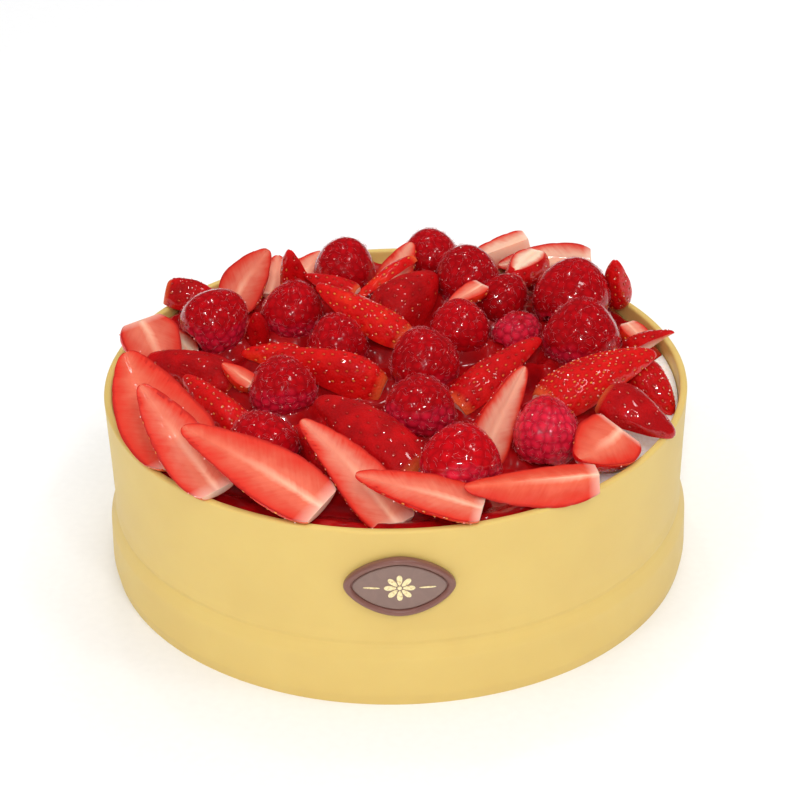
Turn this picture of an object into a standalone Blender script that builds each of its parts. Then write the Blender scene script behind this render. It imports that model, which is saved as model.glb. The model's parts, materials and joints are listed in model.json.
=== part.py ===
"""A round fruit tart, standing on its flat base.

A solid cream filling is wrapped in a smooth band of yellow marzipan that stands a few
millimetres above the cream. Raspberries and pieces of strawberry are heaped on the cream, and
a small oval chocolate plaque sits against the front of the band.

Units are metres, +Z is up, and the origin is the centre of the underside. The plaque faces -Y.
"""

import math
from typing import NamedTuple

import bmesh
import bpy
from mathutils import Matrix, Vector, noise
from mathutils.bvhtree import BVHTree

MM = 0.001

# The band of marzipan and the filling inside it
RIM_HEIGHT = 65.5 * MM
RIM_ROUNDING = 0.8 * MM
WALL = 2.6 * MM
CREAM_EDGE = 59.5 * MM
CREAM_CROWN = 2.0 * MM
CREAM_RINGS = 3
CREAM_FLATNESS = 4
GAP = 0.3 * MM
RING_STEPS = 56
MERGE_DISTANCE = 0.01 * MM
# Outer radius of the band at each height, top to bottom: a slight flare to the rim, a shallow
# waist, and a soft ledge above the fuller foot
BAND_STATIONS = [
    (RIM_HEIGHT, 100.0 * MM),
    (47.5 * MM, 99.4 * MM),
    (27.5 * MM, 98.8 * MM),
    (22 * MM, 99.2 * MM),
    (17.5 * MM, 100.9 * MM),
    (4 * MM, 101.2 * MM),
    (0 * MM, 100.4 * MM),
]

# The chocolate plaque, curved to the band
PLAQUE_LENGTH = 35.0 * MM
PLAQUE_HEIGHT = 22.0 * MM
PLAQUE_THICKNESS = 2.6 * MM
PLAQUE_EDGE = 0.8 * MM
PLAQUE_BORDER = 2.8 * MM
PLAQUE_RECESS = 0.8 * MM
PLAQUE_CENTRE_Z = 45.8 * MM
PLAQUE_STEPS = 32
# How far its outline goes from an oval to a lens with pointed ends, and the power of that lens
PLAQUE_POINTED = 0.4
LENS_POWER = 1.7

# Form of a strawberry: how much wider its stem half is, how full it is, where its stem end is
# flat, how uneven it is and over what size, and how far it bows sideways
BERRY_TAPER = 0.42
BERRY_FULLNESS = 0.80
BERRY_FLAT_END = 0.90
BERRY_LUMPS = 0.08
BERRY_LUMP_SCALE = 1.5
BERRY_BOW = 0.04
BERRY_AROUND = 12
BERRY_ALONG = 9
QUARTER_ANGLE = math.radians(100)
CUT_TOLERANCE = 0.02 * MM
CUT_EDGE_ANGLE = math.radians(40)
AXIS_MARGIN = 1e-6

# Form of a raspberry: how much wider its stem half is, the relief of its drupelets, and the
# hollow in its stem end
RASPBERRY_TAPER = 0.16
RASPBERRY_LUMPS = 0.05
CROWN_RISE = 0.05
VALLEY_FALL = 0.07
HOLLOW_DEPTH = 0.6
HOLLOW_START = 0.90

# How a piece of fruit finds its place: steps sideways and up from where it is wanted, then
# down until it rests on what is below
SIDE_STEP = 1.5 * MM
SIDE_RINGS = 5
SIDE_DIRECTIONS = 12
RISE_STEP = 1.0 * MM
RISE_STEPS = 22
RISE_COST = 1.0
DROP_STEP = 0.5 * MM
REST_TOLERANCE = 0.04 * MM

# Colour and roughness of each finish
MARZIPAN = ((0.80, 0.56, 0.19), 0.50)
CREAM = ((0.86, 0.80, 0.68), 0.45)
CHOCOLATE = ((0.045, 0.018, 0.014), 0.35)
RASPBERRY = ((0.30, 0.012, 0.02), 0.30)
STRAWBERRY = ((0.62, 0.02, 0.012), 0.25)


class Fruit(NamedTuple):
    """One piece of fruit. Places and sizes are in millimetres, angles in degrees.

    x, y and z are where its middle is wanted. heading is the compass direction of its tip,
    pitch how far the tip is raised, and roll its turn about its own length: at 0 a strawberry
    piece lies on its skin with its cut side up, and at 180 its skin is up. depth is how thick
    the piece is below its cut side, or all through for a slice and a raspberry.
    """

    name: str
    kind: str
    x: float
    y: float
    z: float
    heading: float
    pitch: float
    roll: float
    length: float
    width: float
    depth: float


class Laid(NamedTuple):
    """Something that is in its place: its surface, its box, and a point inside it."""

    tree: BVHTree
    low: Vector
    high: Vector
    middle: Vector


# The fruit in the order in which it is laid on the cream
FRUIT = [
    Fruit("strawberry_39", "half", -9, -52, 69.5, 136, 19, 180, 49, 23, 12),
    Fruit("strawberry_09", "half", 34, -51, 75.5, 58, 38, 55, 40, 15, 8),
    Fruit("raspberry_01", "raspberry", -63, 29, 73.5, 30, 30, 0, 24, 23, 23),
    Fruit("raspberry_02", "raspberry", -36, 36, 73.5, 70, 60, 0, 22, 21, 21),
    Fruit("raspberry_03", "raspberry", -18, 72, 73.5, 80, 70, 0, 22, 22, 22),
    Fruit("raspberry_04", "raspberry", -20, 13, 72.5, 100, 60, 0, 20, 20, 20),
    Fruit("raspberry_05", "raspberry", 10, -4, 73.5, 110, 65, 0, 23, 23, 23),
    Fruit("raspberry_06", "raspberry", 8, -36, 73.5, 80, 50, 0, 22, 23, 23),
    Fruit("raspberry_07", "raspberry", -38, -19, 73.5, 100, 60, 0, 21, 22, 22),
    Fruit("raspberry_08", "raspberry", -43, -56, 72.5, 140, 30, 0, 23, 21, 21),
    Fruit("raspberry_09", "raspberry", 20, -65, 73.5, 90, 60, 0, 22, 25, 21),
    Fruit("raspberry_10", "raspberry", 44, -52, 73.5, 80, 60, 0, 23, 21, 21),
    Fruit("raspberry_11", "raspberry", 65, 11, 74.5, 80, 50, 0, 26, 26, 24),
    Fruit("raspberry_12", "raspberry", 64, 43, 74.5, 60, 40, 0, 27, 27, 24),
    Fruit("raspberry_13", "raspberry", 14, 83, 72.5, 90, 60, 0, 20, 21, 21),
    Fruit("raspberry_14", "raspberry", 27, 61, 73.5, 120, 60, 0, 23, 23, 23),
    Fruit("raspberry_15", "raspberry", 39, 44, 71.5, 30, 50, 0, 20, 17, 18),
    Fruit("raspberry_16", "raspberry", 23, 23, 73.5, 90, 60, 0, 20, 20, 20),
    Fruit("raspberry_17", "raspberry", 43, 20, 69.5, 40, 30, 0, 17, 16, 16),
    Fruit("strawberry_07", "quarter", 43, -86, 68, 188, 0, -35, 45, 21, 8),
    Fruit("strawberry_08", "half", 65, -60, 68, 235, 4, -22, 28, 22, 10),
    Fruit("strawberry_13", "half", 79, -38, 65.5, 330, -14, 180, 28, 19, 9),
    Fruit("strawberry_12", "half", 87, -14, 66.5, 310, -25, 180, 24, 15, 8),
    Fruit("strawberry_11", "half", 70, -23, 71.5, 28, 14, 180, 47, 22, 10),
    Fruit("strawberry_02", "half", -78, -39, 71, 118, 17, -15, 54, 29, 6),
    Fruit("strawberry_03", "half", -69, -59.5, 71, 124, 19, -12, 53, 20, 5),
    Fruit("strawberry_04", "half", -44.5, -77.5, 71, 149, 16, -12, 56, 24, 5),
    Fruit("strawberry_05", "half", -16.5, -81, 71, 132, 24, -4, 51, 20, 5.5),
    Fruit("strawberry_40", "half", -32, -63, 69.5, 122, 24, 180, 30, 10, 7),
    Fruit("strawberry_06", "half", 13, -86, 68, 169, 12, -12, 43, 18, 4.5),
    Fruit("strawberry_10", "half", 34, -10, 70.5, 43, 17, 165, 45, 17, 8),
    Fruit("strawberry_21", "half", -2, 71, 71.5, 60, 36, 0, 24, 15, 7),
    Fruit("strawberry_23", "half", 6, 49, 69.5, 48, 26, 180, 30, 23, 13),
    Fruit("strawberry_22", "quarter", -4, 56, 76.5, 222, -12, 180, 36, 8, 5),
    Fruit("strawberry_31", "half", -18, -1, 71.5, 162, 16, 180, 42, 15, 12),
    Fruit("strawberry_34", "half", -69, -1, 70.5, 160, 17, 180, 36, 18, 11),
    Fruit("strawberry_35", "half", -58, -31, 70.5, 130, 20, 180, 42, 15, 10),
    Fruit("strawberry_01", "half", -83, 10, 71.5, 308, -48, 0, 27, 22, 7),
    Fruit("strawberry_36", "slice", -76, 27, 66.5, 141, 22, 0, 20, 12, 4),
    Fruit("strawberry_28", "half", -72, 57, 70.5, 352, -10, 180, 26, 12, 10),
    Fruit("strawberry_27", "half", -55, 57, 71.5, 30, 50, 35, 26, 17, 8),
    Fruit("strawberry_24", "half", -34, 61, 74.5, 229, 70, 0, 26, 14, 8),
    Fruit("strawberry_25", "half", -42, 69, 65.5, 80, 30, 0, 18, 13, 6),
    Fruit("strawberry_26", "half", -31, 79, 65.5, 70, 5, 0, 22, 14, 6),
    Fruit("strawberry_29", "half", -22, 51, 69.5, 155, 10, 180, 22, 10, 4),
    Fruit("strawberry_30", "half", -13, 25, 74.5, 147, 19, 180, 42, 15, 8),
    Fruit("strawberry_19", "quarter", 35, 83, 72.5, 195, -14, -45, 30, 17, 8),
    Fruit("strawberry_17", "half", 57, 73, 69.5, 176, -3, -50, 36, 13, 7),
    Fruit("strawberry_18", "slice", 48, 60, 70.5, 240, 0, 0, 24, 14, 8),
    Fruit("strawberry_20", "half", 26, 37, 80.5, 219, -8, 0, 16, 10, 5),
    Fruit("strawberry_16", "half", 79, 48, 71.5, 250, 72, 0, 22, 11, 6),
    Fruit("strawberry_15", "slice", 86, 27, 66.5, 300, -12, 0, 16, 10, 4),
    Fruit("strawberry_14", "quarter", 89, 12, 73.5, 342, 42, 180, 22, 12, 8),
    Fruit("strawberry_32", "half", -42, 14, 68.5, 173, 12, 180, 24, 11, 8),
    Fruit("strawberry_33", "half", -49, 26, 70.5, 282, 72, 0, 18, 9, 5),
    Fruit("strawberry_37", "half", -49, -14, 72.5, 147, 20, 0, 14, 9, 5),
    Fruit("strawberry_38", "half", -27, -41, 69.5, 143, 12, 180, 13, 8, 10),
]


def finish(name, look):
    """A plain material from a colour and a roughness."""
    colour, roughness = look
    material = bpy.data.materials.new(name)
    material.use_nodes = True
    shader = material.node_tree.nodes["Principled BSDF"]
    shader.inputs["Base Color"].default_value = (*colour, 1.0)
    shader.inputs["Roughness"].default_value = roughness
    shader.inputs["Metallic"].default_value = 0.0
    return material


def add_object(name, bm, collection, material):
    """Turn a finished bmesh into a named object with its material, in the tart's collection."""
    mesh = bpy.data.meshes.new(name)
    bm.to_mesh(mesh)
    bm.free()
    mesh.materials.append(material)
    item = bpy.data.objects.new(name, mesh)
    collection.objects.link(item)
    return item


def band_radius(height):
    """Outer radius of the band at a height, straight between its stations."""
    for (top, upper), (bottom, lower) in zip(BAND_STATIONS, BAND_STATIONS[1:]):
        if bottom <= height <= top:
            share = (height - bottom) / (top - bottom)
            return lower + share * (upper - lower)
    return BAND_STATIONS[0][1]


def turned(name, points, closed, collection, material):
    """A solid turned round the vertical axis from a line of (radius, height) points."""
    bm = bmesh.new()
    corners = [bm.verts.new((radius, 0.0, height)) for radius, height in points]
    for first, second in zip(corners, corners[1:]):
        bm.edges.new((first, second))
    if closed:
        bm.edges.new((corners[-1], corners[0]))
    item = add_object(name, bm, collection, material)
    screw = item.modifiers.new("turned", "SCREW")
    screw.steps = RING_STEPS
    screw.render_steps = RING_STEPS
    screw.use_merge_vertices = True
    screw.merge_threshold = MERGE_DISTANCE
    screw.use_smooth_shade = True
    return item


def make_band(collection):
    """The marzipan band: one wall of even thickness, its rim rounded over."""
    rim = RIM_HEIGHT - RIM_ROUNDING
    outer = [(band_radius(rim), rim)]
    outer += [(radius, height) for height, radius in BAND_STATIONS[1:]]
    inner = [(radius - WALL, height) for radius, height in reversed(outer)]
    crest = [
        (inner[-1][0] + RIM_ROUNDING, RIM_HEIGHT),
        (outer[0][0] - RIM_ROUNDING, RIM_HEIGHT),
    ]
    profile = outer + inner + crest
    return turned("marzipan_band", profile, True, collection, finish("marzipan", MARZIPAN))


def make_filling(collection):
    """The filling: solid down to the base, with a low crown of cream on top."""
    edge = band_radius(CREAM_EDGE) - WALL - GAP
    points = []
    for ring in range(CREAM_RINGS + 1):
        share = ring / CREAM_RINGS
        crown = CREAM_CROWN * (1 - share**CREAM_FLATNESS)
        points.append((edge * share, CREAM_EDGE + crown))
    for height, radius in BAND_STATIONS:
        if height < CREAM_EDGE:
            points.append((radius - WALL - GAP, height))
    points.append((0.0, 0.0))
    return turned("cream_filling", points, False, collection, finish("cream", CREAM))


def wrap_on_band(across, up, out):
    """Bend a flat point of the plaque round the front of the band."""
    height = PLAQUE_CENTRE_Z + up
    angle = across / band_radius(height) - math.pi / 2
    reach = band_radius(height) + GAP + out
    return Vector((reach * math.cos(angle), reach * math.sin(angle), height))


def make_plaque(collection):
    """The pointed oval plaque of chocolate: a rounded border raised round a recessed field."""
    front = PLAQUE_THICKNESS
    field = PLAQUE_THICKNESS - PLAQUE_RECESS
    sections = [
        (0.0, 0.0),
        (0.0, front - PLAQUE_EDGE),
        (PLAQUE_EDGE, front),
        (PLAQUE_BORDER - PLAQUE_EDGE, front),
        (PLAQUE_BORDER, field),
    ]
    bm = bmesh.new()
    rings = []
    for inset, out in sections:
        ring = []
        for step in range(PLAQUE_STEPS):
            angle = math.tau * step / PLAQUE_STEPS
            across = (PLAQUE_LENGTH / 2 - inset) * math.cos(angle)
            lens = 1 - abs(math.cos(angle)) ** LENS_POWER
            fullness = abs(math.sin(angle)) * (1 - PLAQUE_POINTED) + lens * PLAQUE_POINTED
            up = (PLAQUE_HEIGHT / 2 - inset) * math.copysign(fullness, math.sin(angle))
            ring.append(bm.verts.new(wrap_on_band(across, up, out)))
        rings.append(ring)
    for lower, upper in zip(rings, rings[1:]):
        for step in range(PLAQUE_STEPS):
            after = (step + 1) % PLAQUE_STEPS
            bm.faces.new((lower[step], lower[after], upper[after], upper[step]))
    # The back and the field are upright strips, so that they follow the curve of the band
    for ring in (rings[0], rings[-1]):
        for step in range(PLAQUE_STEPS // 2):
            strip = [ring[step], ring[step + 1], ring[-step - 1], ring[-step]]
            bm.faces.new(list(dict.fromkeys(strip)))
    bmesh.ops.triangulate(bm, faces=bm.faces)
    bmesh.ops.recalc_face_normals(bm, faces=bm.faces)
    return add_object("chocolate_plaque", bm, collection, finish("chocolate", CHOCOLATE))


def cut_planes(fruit):
    """The planes that cut a strawberry into this piece, each with the side that is taken off."""
    if fruit.kind == "half":
        return [(Vector(), Vector((0, 0, 1)))]
    if fruit.kind == "quarter":
        tilt = (math.pi - QUARTER_ANGLE) / 2
        sides = (math.sin(tilt), -math.sin(tilt))
        return [(Vector(), Vector((0, side, math.cos(tilt)))) for side in sides]
    half = fruit.depth * MM / 2
    return [(Vector((0, 0, side * half)), Vector((0, 0, side))) for side in (1, -1)]


def strawberry_form(fruit):
    """A cut strawberry along local X, its stem end at -X and its cut side facing +Z."""
    bm = bmesh.new()
    upright = Matrix.Rotation(math.pi / BERRY_AROUND, 4, "Z")
    along_x = Matrix.Rotation(math.pi / 2, 4, "Y")
    bmesh.ops.create_uvsphere(
        bm, u_segments=BERRY_AROUND, v_segments=BERRY_ALONG, radius=1.0, matrix=along_x @ upright
    )
    seed = float(fruit.name[-2:])
    thickness = fruit.width / 2 if fruit.kind == "slice" else fruit.depth
    # The taper is shared out so that the widest ring keeps about the stated width
    widest = 1 + BERRY_TAPER / 4
    for vert in bm.verts:
        x, y, z = vert.co
        ring = max(math.hypot(y, z), AXIS_MARGIN)
        swell = ring**BERRY_FULLNESS * (1 - BERRY_TAPER * x) / widest
        lump = 1 + BERRY_LUMPS * noise.noise(vert.co * BERRY_LUMP_SCALE + Vector((seed, 0, 0)))
        bow = BERRY_BOW * fruit.length * (1 - x * x) * math.sin(seed)
        vert.co.x = max(x, -BERRY_FLAT_END) * fruit.length / 2 * MM
        vert.co.y = (y / ring * swell * lump * fruit.width / 2 + bow) * MM
        vert.co.z = z / ring * swell * lump * thickness * MM
    for point, normal in cut_planes(fruit):
        everything = bm.verts[:] + bm.edges[:] + bm.faces[:]
        bmesh.ops.bisect_plane(
            bm, geom=everything, dist=CUT_TOLERANCE, plane_co=point, plane_no=normal, clear_outer=True
        )
        rim = [edge for edge in bm.edges if edge.is_boundary]
        bmesh.ops.contextual_create(bm, geom=rim)
    return bm


def raspberry_form(fruit):
    """A raspberry along local X, its tip at +X and the hollow of its stem end at -X."""
    bm = bmesh.new()
    along_x = Matrix.Rotation(math.pi / 2, 4, "Y")
    bmesh.ops.create_icosphere(bm, subdivisions=2, radius=1.0, matrix=along_x)
    crowns = set(bm.verts)
    bmesh.ops.subdivide_edges(bm, edges=bm.edges[:], cuts=1, use_grid_fill=True)
    seed = float(fruit.name[-2:])
    for vert in bm.verts:
        vert.co.normalize()
        x, y, z = vert.co
        relief = 1 + CROWN_RISE if vert in crowns else 1 - VALLEY_FALL
        lump = 1 + RASPBERRY_LUMPS * noise.noise(vert.co + Vector((seed, 0, 0)))
        hollow = HOLLOW_DEPTH * max(0.0, -x - HOLLOW_START) / (1 - HOLLOW_START)
        around = relief * lump * (1 - RASPBERRY_TAPER * x)
        vert.co.x = (x * relief * lump + hollow) * fruit.length / 2 * MM
        vert.co.y = y * around * fruit.width / 2 * MM
        vert.co.z = z * around * fruit.depth / 2 * MM
    return bm


def turn_of(fruit):
    """The rotation that points a piece along its heading, pitches it and rolls it."""
    heading = Matrix.Rotation(math.radians(fruit.heading), 4, "Z")
    pitch = Matrix.Rotation(-math.radians(fruit.pitch), 4, "Y")
    roll = Matrix.Rotation(math.radians(fruit.roll), 4, "X")
    return heading @ pitch @ roll


def is_inside(tree, point):
    """Whether a point lies inside a closed surface."""
    nearest, normal, _, _ = tree.find_nearest(point)
    return (point - nearest).dot(normal) < 0


def laid_at(points, faces):
    """The surface of a piece at these points, with its box and a point inside it."""
    low = Vector(min(point[axis] for point in points) for axis in range(3))
    high = Vector(max(point[axis] for point in points) for axis in range(3))
    middle = sum(points, Vector()) / len(points)
    return Laid(BVHTree.FromPolygons(points, faces), low, high, middle)


def clashes(piece, pile):
    """Whether a piece crosses, holds or lies within anything that is already laid."""
    for other in pile:
        if any(piece.low[i] > other.high[i] or other.low[i] > piece.high[i] for i in range(3)):
            continue
        if piece.tree.overlap(other.tree):
            return True
        if is_inside(other.tree, piece.middle) or is_inside(piece.tree, other.middle):
            return True
    return False


def sideways_and_up():
    """Moves away from the wanted place, the nearest first."""
    moves = [(0.0, 0.0)]
    for ring in range(1, SIDE_RINGS + 1):
        for step in range(SIDE_DIRECTIONS):
            angle = math.tau * step / SIDE_DIRECTIONS
            moves.append((ring * SIDE_STEP * math.cos(angle), ring * SIDE_STEP * math.sin(angle)))
    found = []
    for across, along in moves:
        for rise in range(RISE_STEPS + 1):
            lift = rise * RISE_STEP
            found.append((math.hypot(across, along) + RISE_COST * lift, Vector((across, along, lift))))
    return [move for _, move in sorted(found, key=lambda entry: entry[0])]


def settle(points, faces, pile):
    """How far a piece moves from its wanted place: to the nearest free one, then down to rest."""

    def is_free(move):
        return not clashes(laid_at([point + move for point in points], faces), pile)

    start = next((move for move in sideways_and_up() if is_free(move)), None)
    if start is None:
        raise ValueError("no free place near the wanted one")
    down = Vector((0, 0, -DROP_STEP))
    while is_free(start + down):
        start = start + down
    # Halve the step until it is finer than the tolerance
    finer = down / 2
    while finer.length > REST_TOLERANCE:
        if is_free(start + finer):
            start = start + finer
        finer = finer / 2
    return start


def lay_fruit(fruit, pile, collection, material):
    """Make one piece of fruit and lay it on the pile, a gap away from whatever it meets."""
    bm = raspberry_form(fruit) if fruit.kind == "raspberry" else strawberry_form(fruit)
    bmesh.ops.triangulate(bm, faces=bm.faces)
    bmesh.ops.recalc_face_normals(bm, faces=bm.faces)
    bm.normal_update()
    turn = turn_of(fruit)
    wanted = Vector((fruit.x, fruit.y, fruit.z)) * MM
    faces = [[vert.index for vert in face.verts] for face in bm.faces]
    plain = [turn @ vert.co + wanted for vert in bm.verts]
    grown = [turn @ (vert.co + vert.normal * GAP) + wanted for vert in bm.verts]
    move = settle(grown, faces, pile)
    pile.append(laid_at([point + move for point in plain], faces))
    item = add_object(fruit.name, bm, collection, material)
    item.data.shade_smooth()
    item.data.set_sharp_from_angle(angle=CUT_EDGE_ANGLE)
    item.matrix_world = Matrix.Translation(wanted + move) @ turn
    return item


def surface_of(item):
    """What an object with modifiers lays down for the fruit to rest against."""
    graph = bpy.context.evaluated_depsgraph_get()
    mesh = item.evaluated_get(graph).to_mesh()
    points = [vert.co.copy() for vert in mesh.vertices]
    faces = [list(face.vertices) for face in mesh.polygons]
    return points, faces


def main():
    for item in list(bpy.data.objects):
        bpy.data.objects.remove(item, do_unlink=True)
    collection = bpy.data.collections.new("fruit_tart")
    bpy.context.scene.collection.children.link(collection)
    band = make_band(collection)
    filling = make_filling(collection)
    make_plaque(collection)
    bpy.context.view_layer.update()
    pile = [laid_at(*surface_of(band)), laid_at(*surface_of(filling))]
    for fruit in FRUIT:
        look = RASPBERRY if fruit.kind == "raspberry" else STRAWBERRY
        lay_fruit(fruit, pile, collection, finish(fruit.name, look))


if __name__ == "__main__":
    main()
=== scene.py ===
"""A round fruit tart, dressed for a studio picture.

A band of yellow marzipan stands round a cream filling. Glazed raspberries and pieces of
strawberry are heaped on the cream, with dark red jelly between them, and an oval chocolate
plaque sits on the front of the band. Every piece of fruit keeps the form, the size and the place
of its solid, and adds its seeds, drupelets, hairs, cut flesh and glaze.

Sizes are in millimetres where a name or a field says so, and in metres otherwise.
"""

import json
import logging
import math
import random
from dataclasses import dataclass
from enum import Enum

import bpy
import numpy as np
from mathutils import Euler, Matrix, Vector, noise
from mathutils.kdtree import KDTree

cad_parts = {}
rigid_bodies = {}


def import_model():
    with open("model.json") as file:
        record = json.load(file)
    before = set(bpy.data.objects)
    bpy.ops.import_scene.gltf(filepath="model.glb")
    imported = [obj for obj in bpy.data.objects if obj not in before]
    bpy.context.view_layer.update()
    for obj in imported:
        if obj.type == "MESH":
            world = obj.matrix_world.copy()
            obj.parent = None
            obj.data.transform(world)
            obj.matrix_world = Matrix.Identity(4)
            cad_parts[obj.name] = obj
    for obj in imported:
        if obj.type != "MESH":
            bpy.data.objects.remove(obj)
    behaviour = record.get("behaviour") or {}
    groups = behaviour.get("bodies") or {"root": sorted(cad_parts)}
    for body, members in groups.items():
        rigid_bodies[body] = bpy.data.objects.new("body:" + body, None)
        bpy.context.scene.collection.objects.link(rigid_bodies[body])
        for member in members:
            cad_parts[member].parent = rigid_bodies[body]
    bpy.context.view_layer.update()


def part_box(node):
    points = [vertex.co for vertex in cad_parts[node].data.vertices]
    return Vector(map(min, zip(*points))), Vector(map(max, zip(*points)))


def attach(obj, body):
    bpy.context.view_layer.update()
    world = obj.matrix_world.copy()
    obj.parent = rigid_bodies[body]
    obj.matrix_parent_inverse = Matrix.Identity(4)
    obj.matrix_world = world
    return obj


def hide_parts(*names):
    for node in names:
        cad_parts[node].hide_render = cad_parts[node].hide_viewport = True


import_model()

LOG = logging.getLogger("fruit_tart")
MM = 0.001
BODY = "root"

# Form of a strawberry, as its solid has it: how much wider its stem half is, how full it is,
# where its stem end is flat, how uneven it is and over what size, and how far it bows sideways
BERRY_TAPER = 0.42
BERRY_FULLNESS = 0.80
BERRY_FLAT_END = 0.90
BERRY_LUMPS = 0.08
BERRY_LUMP_SCALE = 1.5
BERRY_BOW = 0.04
QUARTER_TILT = math.radians(40)
AXIS_MARGIN = 1e-6

# Form of a raspberry, as its solid has it
RASPBERRY_TAPER = 0.16
RASPBERRY_LUMPS = 0.05
HOLLOW_DEPTH = 0.6
HOLLOW_START = 0.90

# Heights and radii of the band, the filling and the plaque, in millimetres
RIM_HEIGHT = 65.5
WALL = 2.6
CREAM_EDGE = 59.5
CREAM_CROWN = 2.0
GAP = 0.3
BAND_STATIONS = (
    (0.0, 100.4), (4.0, 101.2), (17.5, 100.9), (22.0, 99.2), (27.5, 98.8), (47.5, 99.4), (65.5, 100.0),
)
PLAQUE_CENTRE = 45.8

# The crease that the ledge's upper edge leaves in the band, and how soft the band's bends are
CREASE_HEIGHT = 22.4
CREASE_WIDTH = 0.7
CREASE_DEPTH = 0.35
BEND_SOFTNESS = 0.7
BEND_REACH = 1.6

# Points closer than this, in metres, are one point, and edges sharper than this stay crisp
MERGE_DISTANCE = 0.00001
CRISP_EDGE = math.radians(50)


class Kind(Enum):
    """How a piece of fruit is cut."""

    RASPBERRY = "whole raspberry"
    HALF = "strawberry cut once along its length"
    QUARTER = "strawberry cut twice along its length"
    SLICE = "strawberry slice with two cut faces"


@dataclass(frozen=True)
class Fruit:
    """One piece of fruit. Angles are in degrees, and sizes in millimetres.

    heading, pitch and roll turn it as its solid is turned. tone is how bright its skin is, pale
    is how far its cut flesh is tinted beige, partly for whitish flesh and partly as a painted
    reflection of glaze, and seeds is the distance between its seeds. Of a raspberry, pale
    is instead the share of it that lies under smooth glaze.
    """

    name: str
    kind: Kind
    heading: float
    pitch: float
    roll: float
    length: float
    width: float
    depth: float
    tone: float = 0.5
    pale: float = 0.5
    seeds: float = 3.3

    @property
    def seed(self) -> float:
        """The number that makes this piece's unevenness its own."""
        return float(self.name[-2:])

    @property
    def radius(self) -> float:
        """Its mean radius in millimetres."""
        return (self.length + self.width + self.depth) / 6

    @property
    def turn(self) -> np.ndarray:
        """The rotation from the piece's own axes to the tart's.

        Returns:
            A matrix of three rows.
        """
        heading = Matrix.Rotation(math.radians(self.heading), 3, "Z")
        pitch = Matrix.Rotation(-math.radians(self.pitch), 3, "Y")
        roll = Matrix.Rotation(math.radians(self.roll), 3, "X")
        return np.array(heading @ pitch @ roll)


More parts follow.
